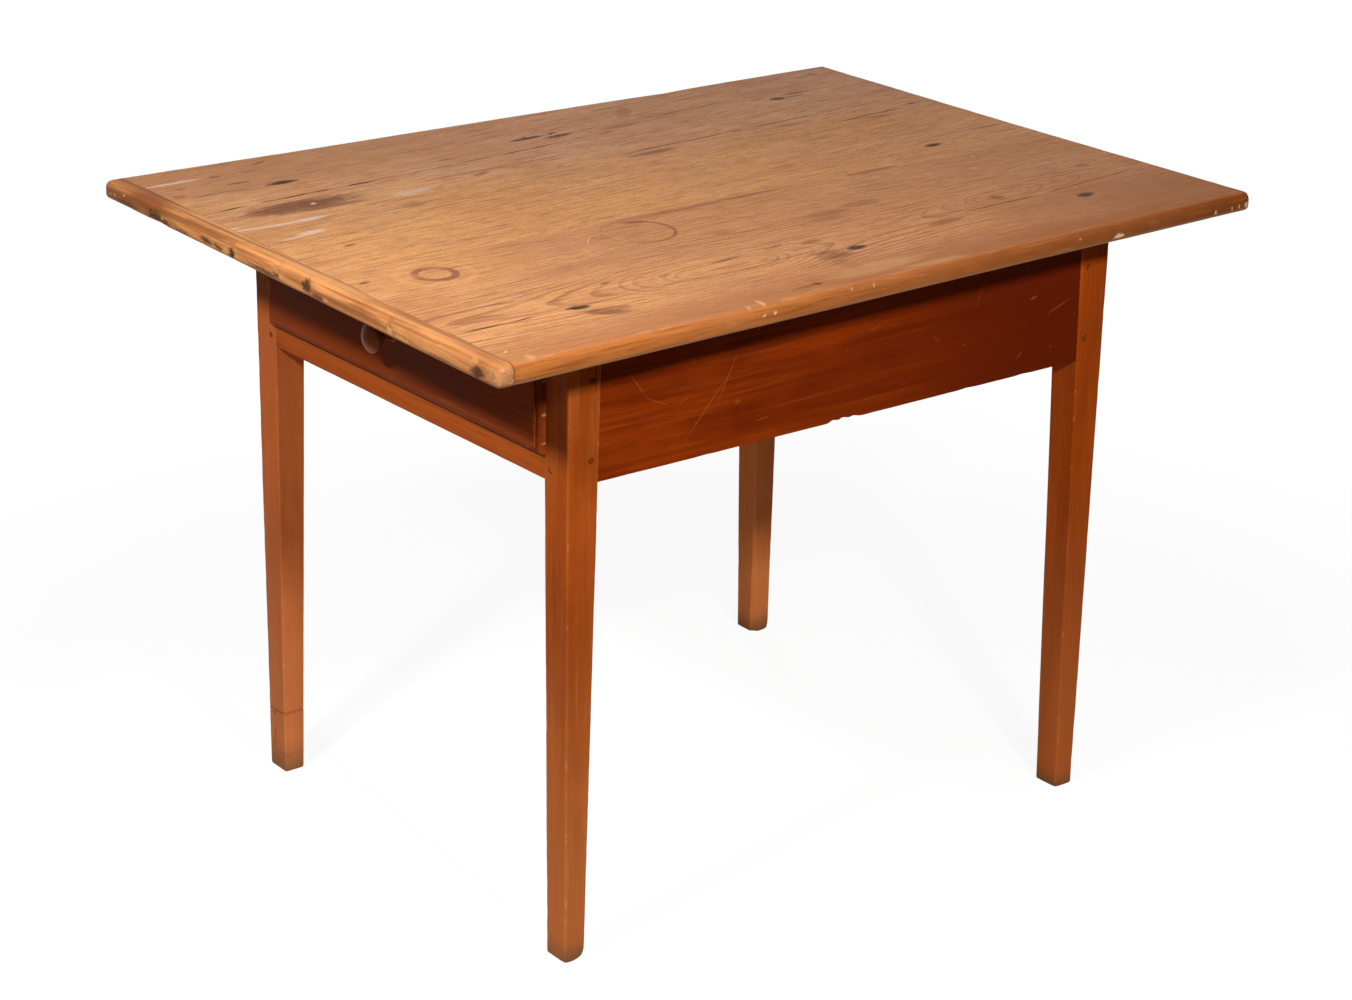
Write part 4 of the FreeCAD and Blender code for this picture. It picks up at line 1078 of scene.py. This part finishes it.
def nailPiece(node, axis, toward, body):  # toward: sign of the way from the tip to the head
    rods = []
    for number, (low, high) in enumerate(looseBoxes(node)):
        middle = (low + high) / 2
        a, c = [i for i in range(3) if i != axis]
        half = (high[a] - low[a]) / 2
        tipEnd, headEnd = (low[axis], high[axis]) if toward > 0 else (high[axis], low[axis])
        under = headEnd - toward * nail["headThickness"]
        brim = headEnd - toward * nail["crown"]
        rows = [(tipEnd, 0.2), (under, nail["headShare"]), (under, 1.0), (brim, 0.98), (headEnd, 0.45)]
        sections = []
        for row, (reach, share) in enumerate(rows):
            ring = []
            for i in range(nail["points"]):
                turn = 2 * math.pi * (i + 0.5) / nail["points"]
                square = 1 / max(abs(math.cos(turn)), abs(math.sin(turn)))
                dent = 0.12 * abs(wander(41, i * 2.3, number * 3.1, row))
                r = half * share * (0.25 + 0.75 * square) * (1 - dent)
                spot = middle.copy()
                spot[a] += r * math.cos(turn)
                spot[c] += r * math.sin(turn)
                spot[axis] = reach
                ring.append(spot)
            sections.append(ring)
        rods.append(sections)
    return makePiece(node, *loftAll(rods), body, "nail_iron", iron, 25)


iron = ironMaterial()
nailPiece("top_nails", 2, 1, "table_frame")
nailPiece("end_strip_nails", 0, -1, "table_frame")
nailPiece("drawer_bottom_nails", 2, -1, "drawer")
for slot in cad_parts["runner_nails"].material_slots:
    slot.material = iron
print("nails made")


# plain inner pieces: the CAD shape with its arrises eased
def easedCopy(node, body, material):
    work = bmesh.new()
    work.from_mesh(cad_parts[node].data)
    bmesh.ops.remove_doubles(work, verts=work.verts, dist=0.002 * mm)
    bmesh.ops.dissolve_limit(work, angle_limit=math.radians(1), verts=work.verts, edges=work.edges)
    verts = [v.co.copy() for v in work.verts]
    faces = [tuple(v.index for v in face.verts) for face in work.faces]
    work.free()
    piece = makePiece(node, verts, faces, body, "bare_wood", material, 40)
    eased = piece.modifiers.new("ease", "BEVEL")
    eased.width = 0.5 * mm
    eased.segments = 2
    eased.limit_method = "ANGLE"
    eased.angle_limit = math.radians(40)
    applyModifiers(piece)


bareX = stainedMaterial("bareAlongX", stainLook["bare"])
bareY = stainedMaterial("bareAlongY", dict(stainLook["bare"], grain=1))
for node in ("runner_front", "runner_back", "kicker_front", "kicker_back"):
    easedCopy(node, "table_frame", bareX)
for node in ("drawer_side_front", "drawer_side_back"):
    easedCopy(node, "drawer", bareX)
for node in ("drawer_back", "drawer_bottom"):
    easedCopy(node, "drawer", bareY)
print("inner pieces made")

# floor, light and camera
stage = {"floorSize": 40, "glow": (0.93, 1.0), "glowReach": (0.8, 1.8), "floorReach": (0.6, 1.3),
         "floorTones": ((0.7,) * 3, (0.15,) * 3), "shadowTone": (0.12,) * 3, "white": (1, 1, 1),
         "worldLevel": 0.025}


def whiteRays(b):  # camera, glossy and transmission rays see the white backdrop
    rays = b.tree.nodes.new("ShaderNodeLightPath").outputs
    return b.most(rays["Is Camera Ray"], rays["Is Glossy Ray"], rays["Is Transmission Ray"])


def floorMaterial():
    b = newBench("paleFloor")
    away = b.length(b.place())
    tone = b.mix(b.span(away, *stage["floorReach"]), *stage["floorTones"])
    diffuse = b.node("BsdfDiffuse", {"Color": tone})
    thin = b.node("BsdfDiffuse", {"Color": stage["shadowTone"]})
    level = b.span(away, *stage["glowReach"], *stage["glow"])
    glow = b.node("Emission", {"Color": stage["white"], "Strength": level})
    lit = b.node("AddShader", {0: thin, 1: glow})
    b.plug(b.node("MixShader", {0: whiteRays(b), 1: diffuse, 2: lit}), b.output.inputs["Surface"])
    return b.holder


floorMesh = bpy.data.meshes.new("floor")
half = stage["floorSize"] / 2
floorCorners = [(x * half, y * half, 0) for x, y in ((-1, -1), (1, -1), (1, 1), (-1, 1))]
floorMesh.from_pydata(floorCorners, [], [(0, 1, 2, 3)])
floorMesh.materials.append(floorMaterial())
floor = show(floorMesh, "floor")
floor.location.z = -0.2 * mm

world = bpy.data.worlds.new("studio")
bpy.context.scene.world = world
sky = Bench(world, "World")
level = sky.scaled(whiteRays(sky), 1 - stage["worldLevel"], stage["worldLevel"])
sky.plug(sky.node("Background", {"Color": stage["white"], "Strength": level}), sky.output.inputs["Surface"])

lamps = {"left": {"spot": (-1.75, -0.55, 1.82), "aim": (-0.1, 0, 0.6), "size": 0.17, "watts": 36},
         "back": {"spot": (1.3, 2.4, 0.5), "aim": (0, 0, 0.45), "size": 0.6, "watts": 9},  # low, off the top
         "front": {"spot": (-0.5, -1.9, 1.71), "aim": (-0.44, 0, 0.6), "size": 0.18, "watts": 37}}
for name, lamp in lamps.items():
    light = bpy.data.lights.new(name, "AREA")
    light.energy = lamp["watts"]
    light.size = lamp["size"]
    shown = show(light, name)
    shown.location = lamp["spot"]
    aim = Vector(lamp["aim"]) - Vector(lamp["spot"])
    shown.rotation_euler = aim.to_track_quat("-Z", "Y").to_euler()

view = {"spot": (-2.06302, -2.60896, 1.62655), "yaw": 0.643277, "pitch": 0.373468, "roll": 0.009845,
        "lens": 82.24, "shift": (0.0562, 0.0148)}
lens = bpy.data.cameras.new("camera")
lens.lens = view["lens"]
lens.sensor_width = 36
lens.shift_x, lens.shift_y = view["shift"]
camera = show(lens, "camera")
yaw, pitch, roll = [Matrix.Rotation(turn, 4, axis) for turn, axis in
                    ((-view["yaw"], "Z"), (math.pi / 2 - view["pitch"], "X"), (view["roll"], "Z"))]
camera.matrix_world = Matrix.Translation(view["spot"]) @ yaw @ pitch @ roll
bpy.context.scene.camera = camera
bpy.context.scene.view_settings.view_transform = "Standard"
print("stage, lamps and camera set")

bpy.context.view_layer.update()
